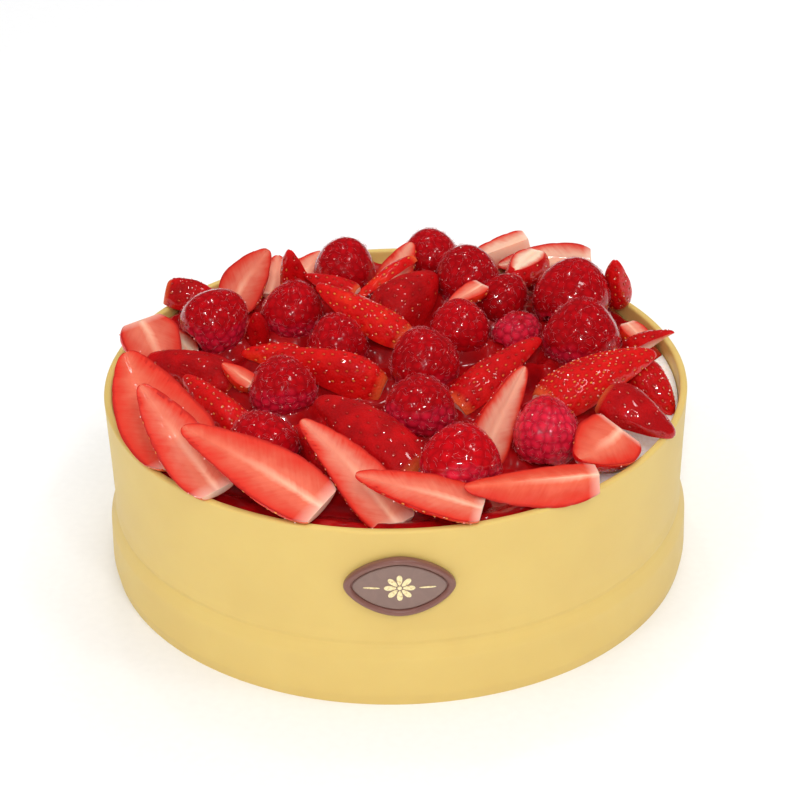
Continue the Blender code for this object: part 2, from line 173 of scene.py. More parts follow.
FRUIT = (
    Fruit("raspberry_01", Kind.RASPBERRY, 30, 30, 0, 24, 23, 23, 0.5, 0.60),
    Fruit("raspberry_02", Kind.RASPBERRY, 70, 60, 0, 22, 21, 21, 0.5, 0.65),
    Fruit("raspberry_03", Kind.RASPBERRY, 80, 70, 0, 22, 22, 22, 0.4, 0.85),
    Fruit("raspberry_04", Kind.RASPBERRY, 100, 60, 0, 20, 20, 20, 0.4, 0.70),
    Fruit("raspberry_05", Kind.RASPBERRY, 110, 65, 0, 23, 23, 23, 0.4, 0.70),
    Fruit("raspberry_06", Kind.RASPBERRY, 80, 50, 0, 22, 23, 23, 0.3, 0.50),
    Fruit("raspberry_07", Kind.RASPBERRY, 100, 60, 0, 21, 22, 22, 0.5, 0.55),
    Fruit("raspberry_08", Kind.RASPBERRY, 140, 30, 0, 23, 21, 21, 0.5, 0.60),
    Fruit("raspberry_09", Kind.RASPBERRY, 90, 60, 0, 22, 25, 21, 1.0, 0.60),
    Fruit("raspberry_10", Kind.RASPBERRY, 80, 60, 0, 23, 21, 21, 0.9, 0.15),
    Fruit("raspberry_11", Kind.RASPBERRY, 80, 50, 0, 26, 26, 24, 0.3, 0.65),
    Fruit("raspberry_12", Kind.RASPBERRY, 60, 40, 0, 27, 27, 24, 0.5, 0.75),
    Fruit("raspberry_13", Kind.RASPBERRY, 90, 60, 0, 20, 21, 21, 0.5, 0.90),
    Fruit("raspberry_14", Kind.RASPBERRY, 120, 60, 0, 23, 23, 23, 0.3, 0.80),
    Fruit("raspberry_15", Kind.RASPBERRY, 30, 50, 0, 20, 17, 18, 0.1, 0.95),
    Fruit("raspberry_16", Kind.RASPBERRY, 90, 60, 0, 20, 20, 20, 0.8, 0.90),
    Fruit("raspberry_17", Kind.RASPBERRY, 40, 30, 0, 17, 16, 16, 0.5, 0.20),
    Fruit("strawberry_01", Kind.HALF, 308, -48, 0, 27, 22, 7, 0.7, 0.10),
    Fruit("strawberry_02", Kind.HALF, 118, 17, -15, 54, 29, 6, 0.7, 0.05),
    Fruit("strawberry_03", Kind.HALF, 124, 19, -12, 53, 20, 5, 0.6, 0.12),
    Fruit("strawberry_04", Kind.HALF, 149, 16, -12, 56, 24, 5, 0.6, 0.05),
    Fruit("strawberry_05", Kind.HALF, 132, 24, -4, 51, 20, 5.5, 0.6, 0.20),
    Fruit("strawberry_06", Kind.HALF, 169, 12, -12, 43, 18, 4.5, 0.6, 0.10),
    Fruit("strawberry_07", Kind.QUARTER, 188, 0, -35, 45, 21, 8, 0.6, 0.0),
    Fruit("strawberry_08", Kind.HALF, 235, 4, -22, 28, 22, 10, 0.5, 0.05),
    Fruit("strawberry_09", Kind.HALF, 58, 38, 55, 40, 15, 8, 0.6, 0.40),
    Fruit("strawberry_10", Kind.HALF, 43, 17, 165, 45, 17, 8, 0.4, 0.50),
    Fruit("strawberry_11", Kind.HALF, 28, 14, 180, 47, 22, 10, 0.55, 0.50, 2.7),
    Fruit("strawberry_12", Kind.HALF, 310, -25, 180, 24, 15, 8, 0.4, 0.50, 2.8),
    Fruit("strawberry_13", Kind.HALF, 330, -14, 180, 28, 19, 9, 0.1, 0.50, 4.5),
    Fruit("strawberry_14", Kind.QUARTER, 342, 42, 180, 22, 12, 8, 0.4, 0.50, 3.0),
    Fruit("strawberry_15", Kind.SLICE, 300, -12, 0, 16, 10, 4, 0.8, 0.30),
    Fruit("strawberry_16", Kind.HALF, 250, 72, 0, 22, 11, 6, 0.4, 0.50),
    Fruit("strawberry_17", Kind.HALF, 176, -3, -50, 36, 13, 7, 0.9, 0.60),
    Fruit("strawberry_18", Kind.SLICE, 240, 0, 0, 24, 14, 8, 0.4, 0.90),
    Fruit("strawberry_19", Kind.QUARTER, 195, -14, -45, 30, 17, 8, 0.9, 0.65),
    Fruit("strawberry_20", Kind.HALF, 219, -8, 0, 16, 10, 5, 0.8, 0.20),
    Fruit("strawberry_21", Kind.HALF, 60, 36, 0, 24, 15, 7, 0.8, 0.30),
    Fruit("strawberry_22", Kind.QUARTER, 222, -12, 180, 36, 8, 5, 0.7, 0.40),
    Fruit("strawberry_23", Kind.HALF, 48, 26, 180, 30, 23, 13, 0.12, 0.50, 4.2),
    Fruit("strawberry_24", Kind.HALF, 229, 70, 0, 26, 14, 8, 0.4, 0.50),
    Fruit("strawberry_25", Kind.HALF, 80, 30, 0, 18, 13, 6, 0.6, 0.30),
    Fruit("strawberry_26", Kind.HALF, 70, 5, 0, 22, 14, 6, 0.6, 0.30),
    Fruit("strawberry_27", Kind.HALF, 30, 50, 35, 26, 17, 8, 0.9, 0.12),
    Fruit("strawberry_28", Kind.HALF, 352, -10, 180, 26, 12, 10, 0.2, 0.50),
    Fruit("strawberry_29", Kind.HALF, 155, 10, 180, 22, 10, 4, 0.4, 0.50),
    Fruit("strawberry_30", Kind.HALF, 147, 19, 180, 42, 15, 8, 0.6, 0.50, 3.0),
    Fruit("strawberry_31", Kind.HALF, 162, 16, 180, 42, 15, 12, 0.5, 0.50, 3.4),
    Fruit("strawberry_32", Kind.HALF, 173, 12, 180, 24, 11, 8, 0.6, 0.50, 3.0),
    Fruit("strawberry_33", Kind.HALF, 282, 72, 0, 18, 9, 5, 0.2, 0.50, 4.0),
    Fruit("strawberry_34", Kind.HALF, 160, 17, 180, 36, 18, 11, 0.1, 0.50, 5.0),
    Fruit("strawberry_35", Kind.HALF, 130, 20, 180, 42, 15, 10, 0.5, 0.50),
    Fruit("strawberry_36", Kind.SLICE, 141, 22, 0, 20, 12, 4, 0.5, 0.90),
    Fruit("strawberry_37", Kind.HALF, 147, 20, 0, 14, 9, 5, 0.9, 0.10),
    Fruit("strawberry_38", Kind.HALF, 143, 12, 180, 13, 8, 10, 0.6, 0.50),
    Fruit("strawberry_39", Kind.HALF, 136, 19, 180, 49, 23, 12, 0.15, 0.50, 4.6),
    Fruit("strawberry_40", Kind.HALF, 122, 24, 180, 30, 10, 7, 0.3, 0.50),
)


def linear(code: str) -> tuple[float, float, float, float]:
    """Turn an sRGB colour to the linear one that the shaders take.

    Args:
        code: The colour as #rrggbb.

    Returns:
        Linear red, green, blue and an alpha of one.
    """
    channels = [int(code[start:start + 2], 16) / 255 for start in (1, 3, 5)]
    red, green, blue = [c / 12.92 if c <= 0.04045 else ((c + 0.055) / 1.055) ** 2.4 for c in channels]
    return (red, green, blue, 1.0)


def plug_in(tree: bpy.types.NodeTree, node: bpy.types.Node, inputs: dict) -> None:
    """Set or link a node's inputs.

    Args:
        tree: The node tree.
        node: The node.
        inputs: Input name or number, and its value, the socket that it is linked from, or the
            node whose first output in use it is linked from.
    """
    for name, value in inputs.items():
        if isinstance(value, bpy.types.Node):
            value = next(socket for socket in value.outputs if socket.enabled)
        if isinstance(value, bpy.types.NodeSocket):
            tree.links.new(value, node.inputs[name])
        else:
            node.inputs[name].default_value = value


def add_node(tree: bpy.types.NodeTree, kind: str, inputs: dict | None = None, stops: tuple = (),
             **settings: object) -> bpy.types.Node:
    """Add a shader node with its settings and its links.

    Args:
        tree: The node tree that it goes into.
        kind: The node's type.
        inputs: Its inputs, as plug_in takes them.
        stops: For a colour ramp, its positions and colours.
        settings: The node's own settings.

    Returns:
        The new node.
    """
    node = tree.nodes.new(kind)
    for name, value in settings.items():
        setattr(node, name, value)
    plug_in(tree, node, inputs or {})
    if stops:
        elements = node.color_ramp.elements
        while len(elements) < len(stops):
            elements.new(0.5)
        for element, (place, code) in zip(elements, stops):
            element.position = place
            element.color = linear(code)
    return node


def new_material(name: str, **constants: object) -> tuple:
    """Start a material.

    Args:
        name: What the material is.
        constants: Shader inputs that are the same all over, with _ for a space.

    Returns:
        The material, its node tree and its shader.
    """
    material = bpy.data.materials.new(name)
    material.use_nodes = True
    shader = material.node_tree.nodes["Principled BSDF"]
    for socket, value in constants.items():
        shader.inputs[socket.replace("_", " ")].default_value = value
    return material, material.node_tree, shader


def tint_unevenly(tree: bpy.types.NodeTree, shader: bpy.types.Node, size_mm: float, detail: float,
                  stops: tuple) -> None:
    """Colour a material in soft uneven patches.

    Args:
        tree: The material's nodes.
        shader: Its shader.
        size_mm: The size of a patch.
        detail: How many finer sizes are mixed in.
        stops: Positions and colours from the patches' low to their high.
    """
    place = add_node(tree, "ShaderNodeTexCoord").outputs["Object"]
    patches = add_node(tree, "ShaderNodeTexNoise", {
        "Vector": place, "Scale": 1 / (size_mm * MM), "Detail": detail})
    tint = add_node(tree, "ShaderNodeValToRGB", {"Fac": patches}, stops=stops)
    plug_in(tree, shader, {"Base Color": tint})


def roughen(tree: bpy.types.NodeTree, shader: bpy.types.Node, size_mm: float, detail: float,
            strength: float, depth_mm: float) -> None:
    """Give a material a fine uneven surface.

    Args:
        tree: The material's nodes.
        shader: Its shader.
        size_mm: The size of a bump.
        detail: How many finer sizes are mixed in.
        strength: How much of the bumps shows, from 0 to 1.
        depth_mm: How high they are.
    """
    place = add_node(tree, "ShaderNodeTexCoord").outputs["Object"]
    bumps = add_node(tree, "ShaderNodeTexNoise", {
        "Vector": place, "Scale": 1 / (size_mm * MM), "Detail": detail})
    bump = add_node(tree, "ShaderNodeBump", {
        "Height": bumps, "Strength": strength, "Distance": depth_mm * MM})
    plug_in(tree, shader, {"Normal": bump})


@dataclass(frozen=True)
class Marzipan:
    """Almond paste, coloured yellow and rolled out smooth: satin, a little translucent."""

    light: str = "#DDBF6E"
    shade: str = "#DABB6B"
    grain_mm: float = 0.45
    grain_depth_mm: float = 0.2
    mottle_mm: float = 22.0

    def make(self) -> bpy.types.Material:
        """Build the material. Ground almonds are finer, and the grain is as coarse as shows.

        Returns:
            The material.
        """
        material, tree, shader = new_material(
            "rolled marzipan", Roughness=0.48, IOR=1.45, Subsurface_Weight=0.2,
            Subsurface_Radius=(1.0, 0.65, 0.3), Subsurface_Scale=0.0015,
        )
        tint_unevenly(tree, shader, self.mottle_mm, 3.0, ((0.35, self.shade), (0.65, self.light)))
        roughen(tree, shader, self.grain_mm, 2.0, 0.12, self.grain_depth_mm)
        return material


@dataclass(frozen=True)
class WhippedCream:
    """Whipped cream spread with a palette knife: white, matt, with soft light in it."""

    white: str = "#FCFAF4"
    shade: str = "#F4EDE0"
    froth_mm: float = 1.2
    froth_depth_mm: float = 0.4

    def make(self) -> bpy.types.Material:
        """Build the material. The froth's bubbles are finer, and it is as coarse as shows.

        Returns:
            The material.
        """
        material, tree, shader = new_material(
            "whipped cream", Roughness=0.55, IOR=1.4, Subsurface_Weight=0.4,
            Subsurface_Radius=(1.0, 0.8, 0.6), Subsurface_Scale=0.003,
        )
        tint_unevenly(tree, shader, self.froth_mm, 4.0, ((0.3, self.shade), (0.6, self.white)))
        roughen(tree, shader, self.froth_mm, 4.0, 0.3, self.froth_depth_mm)
        return material


@dataclass(frozen=True)
class DarkChocolate:
    """Tempered chocolate out of a mould: a satin border, and a field with a painted reflection in its
    colour.
    """

    border: str = "#7E5248"
    # field is the chocolate's brown painted lighter and greyer, as a painted reflection of the bright
    # room
    field: str = "#85695F"
    swirl_mm: float = 6.0

    def make(self) -> bpy.types.Material:
        """Build the material. The attribute "field" is 1 on the plaque's field, which gets the painted
        reflection.

        Returns:
            The material.
        """
        material, tree, shader = new_material("dark chocolate with painted sheen", IOR=1.5, Coat_Weight=0.2)
        place = add_node(tree, "ShaderNodeTexCoord").outputs["Object"]
        swirl = add_node(tree, "ShaderNodeTexNoise", {
            "Vector": place, "Scale": 1 / (self.swirl_mm * MM), "Detail": 3.0, "Distortion": 1.5})
        share = add_node(tree, "ShaderNodeAttribute", attribute_name="field").outputs["Fac"]
        # Painted reflection: the field takes the lighter, greyer colour
        tint = add_node(tree, "ShaderNodeMix", {
            "Factor": share, "A": linear(self.border), "B": linear(self.field)}, data_type="RGBA")
        vary = add_node(tree, "ShaderNodeMapRange", {"Value": swirl, "To Min": 0.82, "To Max": 1.14})
        tone = add_node(tree, "ShaderNodeHueSaturation", {"Value": vary, "Color": tint})
        gloss = add_node(tree, "ShaderNodeMapRange", {"Value": swirl, "To Min": 0.26, "To Max": 0.42})
        plug_in(tree, shader, {"Base Color": tone, "Roughness": gloss})
        return material


@dataclass(frozen=True)
class PrintedCocoaButter:
    """Coloured cocoa butter, printed on the chocolate: flat, cream-gold, slightly worn."""

    gold: str = "#F3E2AE"
    worn: str = "#CDB078"
    wear_mm: float = 0.8

    def make(self) -> bpy.types.Material:
        """Build the material.

        Returns:
            The material.
        """
        material, tree, shader = new_material("printed cocoa butter", Roughness=0.4, IOR=1.46)
        tint_unevenly(tree, shader, self.wear_mm, 3.0, ((0.3, self.worn), (0.5, self.gold)))
        return material


@dataclass(frozen=True)
class StrawberrySkin:
    """Ripe strawberry skin under clear jelly: deep red, a wet gloss, and painted shade in the seed
    pits.
    """

    deep: str = "#A2060B"
    ripe: str = "#C20A0E"
    bright: str = "#D4110F"
    light: str = "#EA3A1A"
    # pit is the skin's red darkened as painted shade, for the pits round the seeds
    pit: str = "#860608"
    stem: str = "#EE8040"
    blotch_mm: float = 7.0
    dimple_mm: float = 0.8
    dimple_depth_mm: float = 0.4

    def make(self) -> bpy.types.Material:
        """Build the material. The attribute "skin" holds tone, nearness to a seed (painted shade in the
        pits) and length.

        Returns:
            The material.
        """
        material, tree, shader = new_material(
            "glazed strawberry skin", Roughness=0.4, IOR=1.4, Specular_IOR_Level=0.12,
            Coat_Weight=0.8, Coat_Roughness=0.05, Coat_IOR=1.45, Subsurface_Weight=0.25,
            Subsurface_Radius=(1.0, 0.25, 0.12), Subsurface_Scale=0.002,
        )
        place = add_node(tree, "ShaderNodeTexCoord").outputs["Object"]
        skin = add_node(tree, "ShaderNodeAttribute", attribute_name="skin")
        parts = add_node(tree, "ShaderNodeSeparateXYZ", {"Vector": skin.outputs["Vector"]})
        blotch = add_node(tree, "ShaderNodeTexNoise", {
            "Vector": place, "Scale": 1 / (self.blotch_mm * MM), "Detail": 4.0})
        uneven = add_node(tree, "ShaderNodeMapRange", {
            "Value": blotch, "From Min": 0.3, "From Max": 0.7, "To Min": -0.22, "To Max": 0.22})
        tone = add_node(tree, "ShaderNodeMath", {0: parts.outputs["X"], 1: uneven}, operation="ADD")
        tint = add_node(tree, "ShaderNodeValToRGB", {"Fac": tone}, stops=(
            (0.0, self.deep), (0.35, self.ripe), (0.65, self.bright), (1.0, self.light)))
        end = add_node(tree, "ShaderNodeMapRange", {
            "Value": parts.outputs["Z"], "From Min": -0.74, "From Max": -1.0, "To Min": 0.0,
            "To Max": 0.8})
        stemmed = add_node(tree, "ShaderNodeMix", {
            "Factor": end, "A": tint, "B": linear(self.stem)}, data_type="RGBA")
        # Painted shade: the skin is darkened near each seed, down in its pit
        sunk = add_node(tree, "ShaderNodeMath", {0: parts.outputs["Y"], 1: 0.55}, operation="MULTIPLY")
        pit_shaded = add_node(tree, "ShaderNodeMix", {
            "Factor": sunk, "A": stemmed, "B": linear(self.pit)}, data_type="RGBA")
        plug_in(tree, shader, {"Base Color": pit_shaded})
        roughen(tree, shader, self.dimple_mm, 2.0, 0.8, self.dimple_depth_mm)
        return material


@dataclass(frozen=True)
class StrawberryFlesh:
    """Cut strawberry: salmon red, paler inwards, with a white core line and a thin red rim."""

    inner: str = "#E4664A"
    middle: str = "#DA4A32"
    outer: str = "#DA3220"
    rim: str = "#A80E0E"
    core: str = "#FFC4A4"
    # beige: partly whitish flesh, partly a painted reflection of the glaze on cut faces
    beige_and_sheen: str = "#F1D9BC"
    stem: str = "#F6E0CC"
    strand_mm: float = 1.3
    strand_length_mm: float = 8.0
    strand_depth_mm: float = 0.3
    cloud_mm: float = 6.25
    slant: float = 0.8

    def make(self) -> bpy.types.Material:
        """Build the material.

        The attribute "cut" holds nearness to the rim, length and paleness, and "berry" the place
        in millimetres. The strands slant from the core line to the rim.

        Returns:
            The material.
        """
        material, tree, shader = new_material(
            "cut strawberry flesh", Roughness=0.4, IOR=1.38, Specular_IOR_Level=0.3,
            Coat_Weight=0.3, Coat_Roughness=0.12, Subsurface_Weight=0.3,
            Subsurface_Radius=(1.0, 0.4, 0.25), Subsurface_Scale=0.0025,
        )
        cut = add_node(tree, "ShaderNodeAttribute", attribute_name="cut")
        parts = add_node(tree, "ShaderNodeSeparateXYZ", {"Vector": cut.outputs["Vector"]})
        berry = add_node(tree, "ShaderNodeAttribute", attribute_name="berry")
        spot = add_node(tree, "ShaderNodeSeparateXYZ", {"Vector": berry.outputs["Vector"]})
        aside = add_node(tree, "ShaderNodeMath", {0: spot.outputs["Y"]}, operation="ABSOLUTE")
        shift = add_node(tree, "ShaderNodeMath", {
            0: aside, 1: -self.slant, 2: spot.outputs["X"]}, operation="MULTIPLY_ADD")
        across = add_node(tree, "ShaderNodeMath", {
            0: shift, 1: 1 / self.strand_mm}, operation="MULTIPLY")
        along = add_node(tree, "ShaderNodeMath", {
            0: spot.outputs["Y"], 1: 1 / self.strand_length_mm}, operation="MULTIPLY")
        grid = add_node(tree, "ShaderNodeCombineXYZ", {"X": across, "Y": along, "Z": spot.outputs["Z"]})
        strand = add_node(tree, "ShaderNodeTexNoise", {"Vector": grid, "Scale": 1.0, "Detail": 2.0})
        cloud = add_node(tree, "ShaderNodeTexNoise", {
            "Vector": berry.outputs["Vector"], "Scale": 1 / self.cloud_mm, "Detail": 2.0})
        streak = add_node(tree, "ShaderNodeMapRange", {
            "Value": strand, "From Min": 0.3, "From Max": 0.7, "To Min": -0.075, "To Max": 0.075})
        mottle = add_node(tree, "ShaderNodeMapRange", {
            "Value": cloud, "From Min": 0.3, "From Max": 0.7, "To Min": -0.15, "To Max": 0.15})
        uneven = add_node(tree, "ShaderNodeMath", {0: streak, 1: mottle}, operation="ADD")
        tip = add_node(tree, "ShaderNodeMath", {
            0: parts.outputs["Y"], 1: 0.14, 2: uneven}, operation="MULTIPLY_ADD")
        inside = add_node(tree, "ShaderNodeMapRange", {
            "Value": parts.outputs["X"], "From Min": 0.7, "From Max": 0.96, "To Min": 1.0,
            "To Max": 0.0})
        softened = add_node(tree, "ShaderNodeMath", {
            0: tip, 1: inside, 2: parts.outputs["X"]}, operation="MULTIPLY_ADD")
        red = add_node(tree, "ShaderNodeValToRGB", {"Fac": softened}, stops=(
            (0.1, self.inner), (0.5, self.middle), (0.9, self.outer), (1.0, self.rim)))
        # Towards beige by the piece's pale: partly whitish flesh, partly a painted reflection of glaze
        paler = add_node(tree, "ShaderNodeMapRange", {
            "Value": softened, "From Min": 0.35, "From Max": 0.92, "To Min": 1.0, "To Max": 0.0})
        paleness = add_node(tree, "ShaderNodeMath", {
            0: paler, 1: parts.outputs["Z"]}, operation="MULTIPLY")
        pale = add_node(tree, "ShaderNodeMix", {
            "Factor": paleness, "A": red, "B": linear(self.beige_and_sheen)}, data_type="RGBA")
        frayed = add_node(tree, "ShaderNodeMath", {
            0: uneven, 1: 0.25, 2: parts.outputs["X"]}, operation="MULTIPLY_ADD")
        line = add_node(tree, "ShaderNodeMapRange", {
            "Value": frayed, "From Min": 0.02, "From Max": 0.2, "To Min": 0.8, "To Max": 0.0})
        back = add_node(tree, "ShaderNodeMapRange", {
            "Value": parts.outputs["Y"], "From Min": 0.45, "From Max": -0.6})
        core = add_node(tree, "ShaderNodeMath", {0: line, 1: back}, operation="MULTIPLY")
        cored = add_node(tree, "ShaderNodeMix", {
            "Factor": core, "A": pale, "B": linear(self.core)}, data_type="RGBA")
        end = add_node(tree, "ShaderNodeMapRange", {
            "Value": parts.outputs["Y"], "From Min": -0.74, "From Max": -1.0, "To Min": 0.0,
            "To Max": 0.75})
        stemmed = add_node(tree, "ShaderNodeMix", {
            "Factor": end, "A": cored, "B": linear(self.stem)}, data_type="RGBA")
        bump = add_node(tree, "ShaderNodeBump", {
            "Height": strand, "Strength": 0.25, "Distance": self.strand_depth_mm * MM})
        plug_in(tree, shader, {"Base Color": stemmed, "Normal": bump})
        return material


@dataclass(frozen=True)
class SeedHusk:
    """Strawberry seeds: straw-yellow husks, stained redder where the skin is dark."""

    straw: str = "#EC8E38"
    brown: str = "#D65C24"
    stained: str = "#AC1A10"
    vary_mm: float = 5.0

    def make(self) -> bpy.types.Material:
        """Build the material.

        Returns:
            The material.
        """
        material, tree, shader = new_material("strawberry seed husk", Roughness=0.35, IOR=1.45,
                                              Coat_Weight=0.8, Coat_Roughness=0.08)
        place = add_node(tree, "ShaderNodeTexCoord").outputs["Object"]
        vary = add_node(tree, "ShaderNodeTexNoise", {
            "Vector": place, "Scale": 1 / (self.vary_mm * MM), "Detail": 2.0})
        around = add_node(tree, "ShaderNodeAttribute", attribute_name="tone").outputs["Fac"]
        ripe = add_node(tree, "ShaderNodeMath", {0: around, 1: 0.6, 2: vary}, operation="MULTIPLY_ADD")
        tint = add_node(tree, "ShaderNodeValToRGB", {"Fac": ripe}, stops=(
            (0.66, self.stained), (0.84, self.brown), (1.0, self.straw)))
        plug_in(tree, shader, {"Base Color": tint})
        return material


@dataclass(frozen=True)
class RaspberrySkin:
    """Raspberry drupelets: velvety and pink where bare, dark and wet under glaze, with painted shade
    between them.
    """

    bare: str = "#D01A36"
    bare_valley_shade: str = "#A40C24"
    wet: str = "#B60812"
    wet_valley_shade: str = "#98060E"
    down_mm: float = 0.35
    down_depth_mm: float = 0.2

    def make(self) -> bpy.types.Material:
        """Build the material. "drupelet" holds nearness to a valley (for painted shade there), glaze
        and a random tone.

        Returns:
            The material.
        """
        material, tree, shader = new_material(
            "raspberry", IOR=1.4, Specular_IOR_Level=0.15, Coat_Weight=0.6, Coat_Roughness=0.05,
            Subsurface_Weight=0.25, Subsurface_Radius=(1.0, 0.25, 0.2), Subsurface_Scale=0.0015,
        )
        drupelet = add_node(tree, "ShaderNodeAttribute", attribute_name="drupelet")
        parts = add_node(tree, "ShaderNodeSeparateXYZ", {"Vector": drupelet.outputs["Vector"]})
        # Painted shade: each red is mixed towards a darker one in the valleys between drupelets
        bare = add_node(tree, "ShaderNodeMix", {
            "Factor": parts.outputs["X"], "A": linear(self.bare), "B": linear(self.bare_valley_shade)},
            data_type="RGBA")
        wet = add_node(tree, "ShaderNodeMix", {
            "Factor": parts.outputs["X"], "A": linear(self.wet), "B": linear(self.wet_valley_shade)},
            data_type="RGBA")
        tint = add_node(tree, "ShaderNodeMix", {
            "Factor": parts.outputs["Y"], "A": bare, "B": wet}, data_type="RGBA")
        vary = add_node(tree, "ShaderNodeMapRange", {
            "Value": parts.outputs["Z"], "To Min": 0.75, "To Max": 1.25})
        tone = add_node(tree, "ShaderNodeHueSaturation", {"Value": vary, "Color": tint})
        gloss = add_node(tree, "ShaderNodeMapRange", {
            "Value": parts.outputs["Y"], "To Min": 0.5, "To Max": 0.16})
        plug_in(tree, shader, {"Base Color": tone, "Roughness": gloss})
        roughen(tree, shader, self.down_mm, 2.0, 0.15, self.down_depth_mm)
        return material


@dataclass(frozen=True)
class DriedStyle:
    """The dry styles of a raspberry: fine pale hairs, stained pink by the juice."""

    pale: str = "#E4888A"
    pink: str = "#B93A4C"
    vary_mm: float = 4.0

    def make(self) -> bpy.types.Material:
        """Build the material.

        Returns:
            The material.
        """
        material, tree, shader = new_material("dried raspberry styles", Roughness=0.4, IOR=1.45)
        tint_unevenly(tree, shader, self.vary_mm, 2.0, ((0.35, self.pink), (0.65, self.pale)))
        return material


@dataclass(frozen=True)
class GlazeBeadGlints:
    """Beads of clear glaze, coloured pale pink-white as painted glints rather than left clear."""

    # Both colours are painted highlights: the pale glints that the beads stand for
    bright: str = "#FFD9CF"
    tinted_glint: str = "#F08C80"
    vary_mm: float = 3.0

    def make(self) -> bpy.types.Material:
        """Build the material.

        Returns:
            The material.
        """
        material, tree, shader = new_material("clear fruit glaze", Roughness=0.12, IOR=1.45,
                                              Coat_Weight=1.0, Coat_Roughness=0.03)
        tint_unevenly(tree, shader, self.vary_mm, 2.0, ((0.4, self.tinted_glint), (0.62, self.bright)))
        return material


@dataclass(frozen=True)
class FruitJelly:
    """Set glazing jelly, stained by the berries: dark red, clear and wet, also laid as painted shade.
    """

    # Both reds are partly the jelly's own and partly painted shade in the gaps and along the band
    thin: str = "#B80C10"
    thick: str = "#8C070C"
    pool_mm: float = 9.0

    def make(self) -> bpy.types.Material:
        """Build the material.

        Returns:
            The material.
        """
        material, tree, shader = new_material(
            "red glazing jelly and painted shade", Roughness=0.2, IOR=1.42, Specular_IOR_Level=0.2, Coat_Weight=0.9,
            Coat_Roughness=0.04, Subsurface_Weight=0.3, Subsurface_Radius=(1.0, 0.2, 0.1),
            Subsurface_Scale=0.003,
        )
        tint_unevenly(tree, shader, self.pool_mm, 3.0, ((0.35, self.thick), (0.65, self.thin)))
        return material


@dataclass(frozen=True)
class StudioPaper:
    """Matt white background paper: its fibres are drawn coarse, as soft patches, to show."""

    white: str = "#FAFAFA"
    shade: str = "#F4F4F4"
    fibre_mm: float = 3.0

    def make(self) -> bpy.types.Material:
        """Build the material.

        Returns:
            The material.
        """
        material, tree, shader = new_material("studio paper", Roughness=0.8)
        tint_unevenly(tree, shader, self.fibre_mm, 2.0, ((0.0, self.shade), (1.0, self.white)))
        return material


def select_only(piece: bpy.types.Object) -> None:
    """Deselect everything, then select one object and make it the active one.

    Args:
        piece: The object.
    """
    bpy.ops.object.select_all(action="DESELECT")
    piece.select_set(True)
    bpy.context.view_layer.objects.active = piece


def points_of(piece: bpy.types.Object, what: str = "co") -> np.ndarray:
    """The places of a piece's vertices, or with what as "normal" their directions, as rows.

    Args:
        piece: The object.
        what: The vertices' own name for what is read.

    Returns:
        The rows.
    """
    flat = np.empty(len(piece.data.vertices) * 3)
    piece.data.vertices.foreach_get(what, flat)
    return flat.reshape(-1, 3)


def move_points(piece: bpy.types.Object, points: np.ndarray) -> None:
    """Put a piece's vertices in new places."""
    piece.data.vertices.foreach_set("co", np.ascontiguousarray(points, dtype=float).ravel())
    piece.data.update()


def add_vectors(piece: bpy.types.Object, name: str, columns: tuple) -> None:
    """Keep three numbers for each vertex, for a material to read.

    Args:
        piece: The object.
        name: The attribute's name.
        columns: Three arrays or numbers.
    """
    count = len(piece.data.vertices)
    values = np.stack([np.broadcast_to(np.asarray(column, float), (count,)) for column in columns], 1)
    attribute = piece.data.attributes.new(name, "FLOAT_VECTOR", "POINT")
    attribute.data.foreach_set("vector", np.ascontiguousarray(values).ravel())


def clean_up(piece: bpy.types.Object, merge: bool = False) -> None:
    """Turn all faces outwards, after merging doubled points where that is asked.

    Args:
        piece: The object.
        merge: Whether points that lie together become one.
    """
    select_only(piece)
    bpy.ops.object.mode_set(mode="EDIT")
    bpy.ops.mesh.select_all(action="SELECT")
    if merge:
        bpy.ops.mesh.remove_doubles(threshold=MERGE_DISTANCE)
    bpy.ops.mesh.normals_make_consistent(inside=False)
    bpy.ops.object.mode_set(mode="OBJECT")


def add_sphere(name: str, segments: int, rings: int) -> bpy.types.Object:
    """Add a unit sphere whose poles lie on X, the tip at +X, with its turn applied.

    Args:
        name: The object's name.
        segments: How many faces lie round it.
        rings: How many bands of faces lie between its poles.

    Returns:
        The sphere.
    """
    bpy.ops.object.select_all(action="DESELECT")
    bpy.ops.mesh.primitive_uv_sphere_add(
        segments=segments, ring_count=rings, radius=1.0, rotation=(0.0, math.pi / 2, 0.0)
    )
    bpy.ops.object.transform_apply(location=False, rotation=True, scale=False)
    piece = bpy.context.object
    piece.name = name
    piece.data.name = name
    return piece


def mesh_piece(name: str, points: np.ndarray, faces: list) -> bpy.types.Object:
    """Make a smooth object from rows of points in metres and their faces.

    Args:
        name: The object's name.
        points: Its points.
        faces: The numbers of each face's points.

    Returns:
        The object.
    """
    mesh = bpy.data.meshes.new(name)
    mesh.from_pydata([tuple(point) for point in points], [], faces)
    mesh.validate()
    piece = bpy.data.objects.new(name, mesh)
    bpy.context.scene.collection.objects.link(piece)
    select_only(piece)
    bpy.ops.object.shade_smooth()
    return piece


def ball(segments: int, rings: int) -> tuple:
    """A unit ball's points and its faces, for small forms that are made many times.

    Args:
        segments: How many faces lie round it.
        rings: How many bands of faces lie between its poles.

    Returns:
        The points and the faces.
    """
    model = add_sphere("ball", segments, rings)
    points = points_of(model)
    faces = [tuple(face.vertices) for face in model.data.polygons]
    bpy.data.objects.remove(model, do_unlink=True)
    return points, faces


def copies_piece(name: str, copies: list, faces: list) -> bpy.types.Object:
    """Make one object of many small copies.

    Args:
        name: The piece's name.
        copies: The points of each copy, in metres.
        faces: The faces of one copy.

    Returns:
        The piece.
    """
    count = len(copies[0])
    joined = [tuple(corner + index * count for corner in face)
              for index in range(len(copies)) for face in faces]
    return mesh_piece(name, np.concatenate(copies), joined)


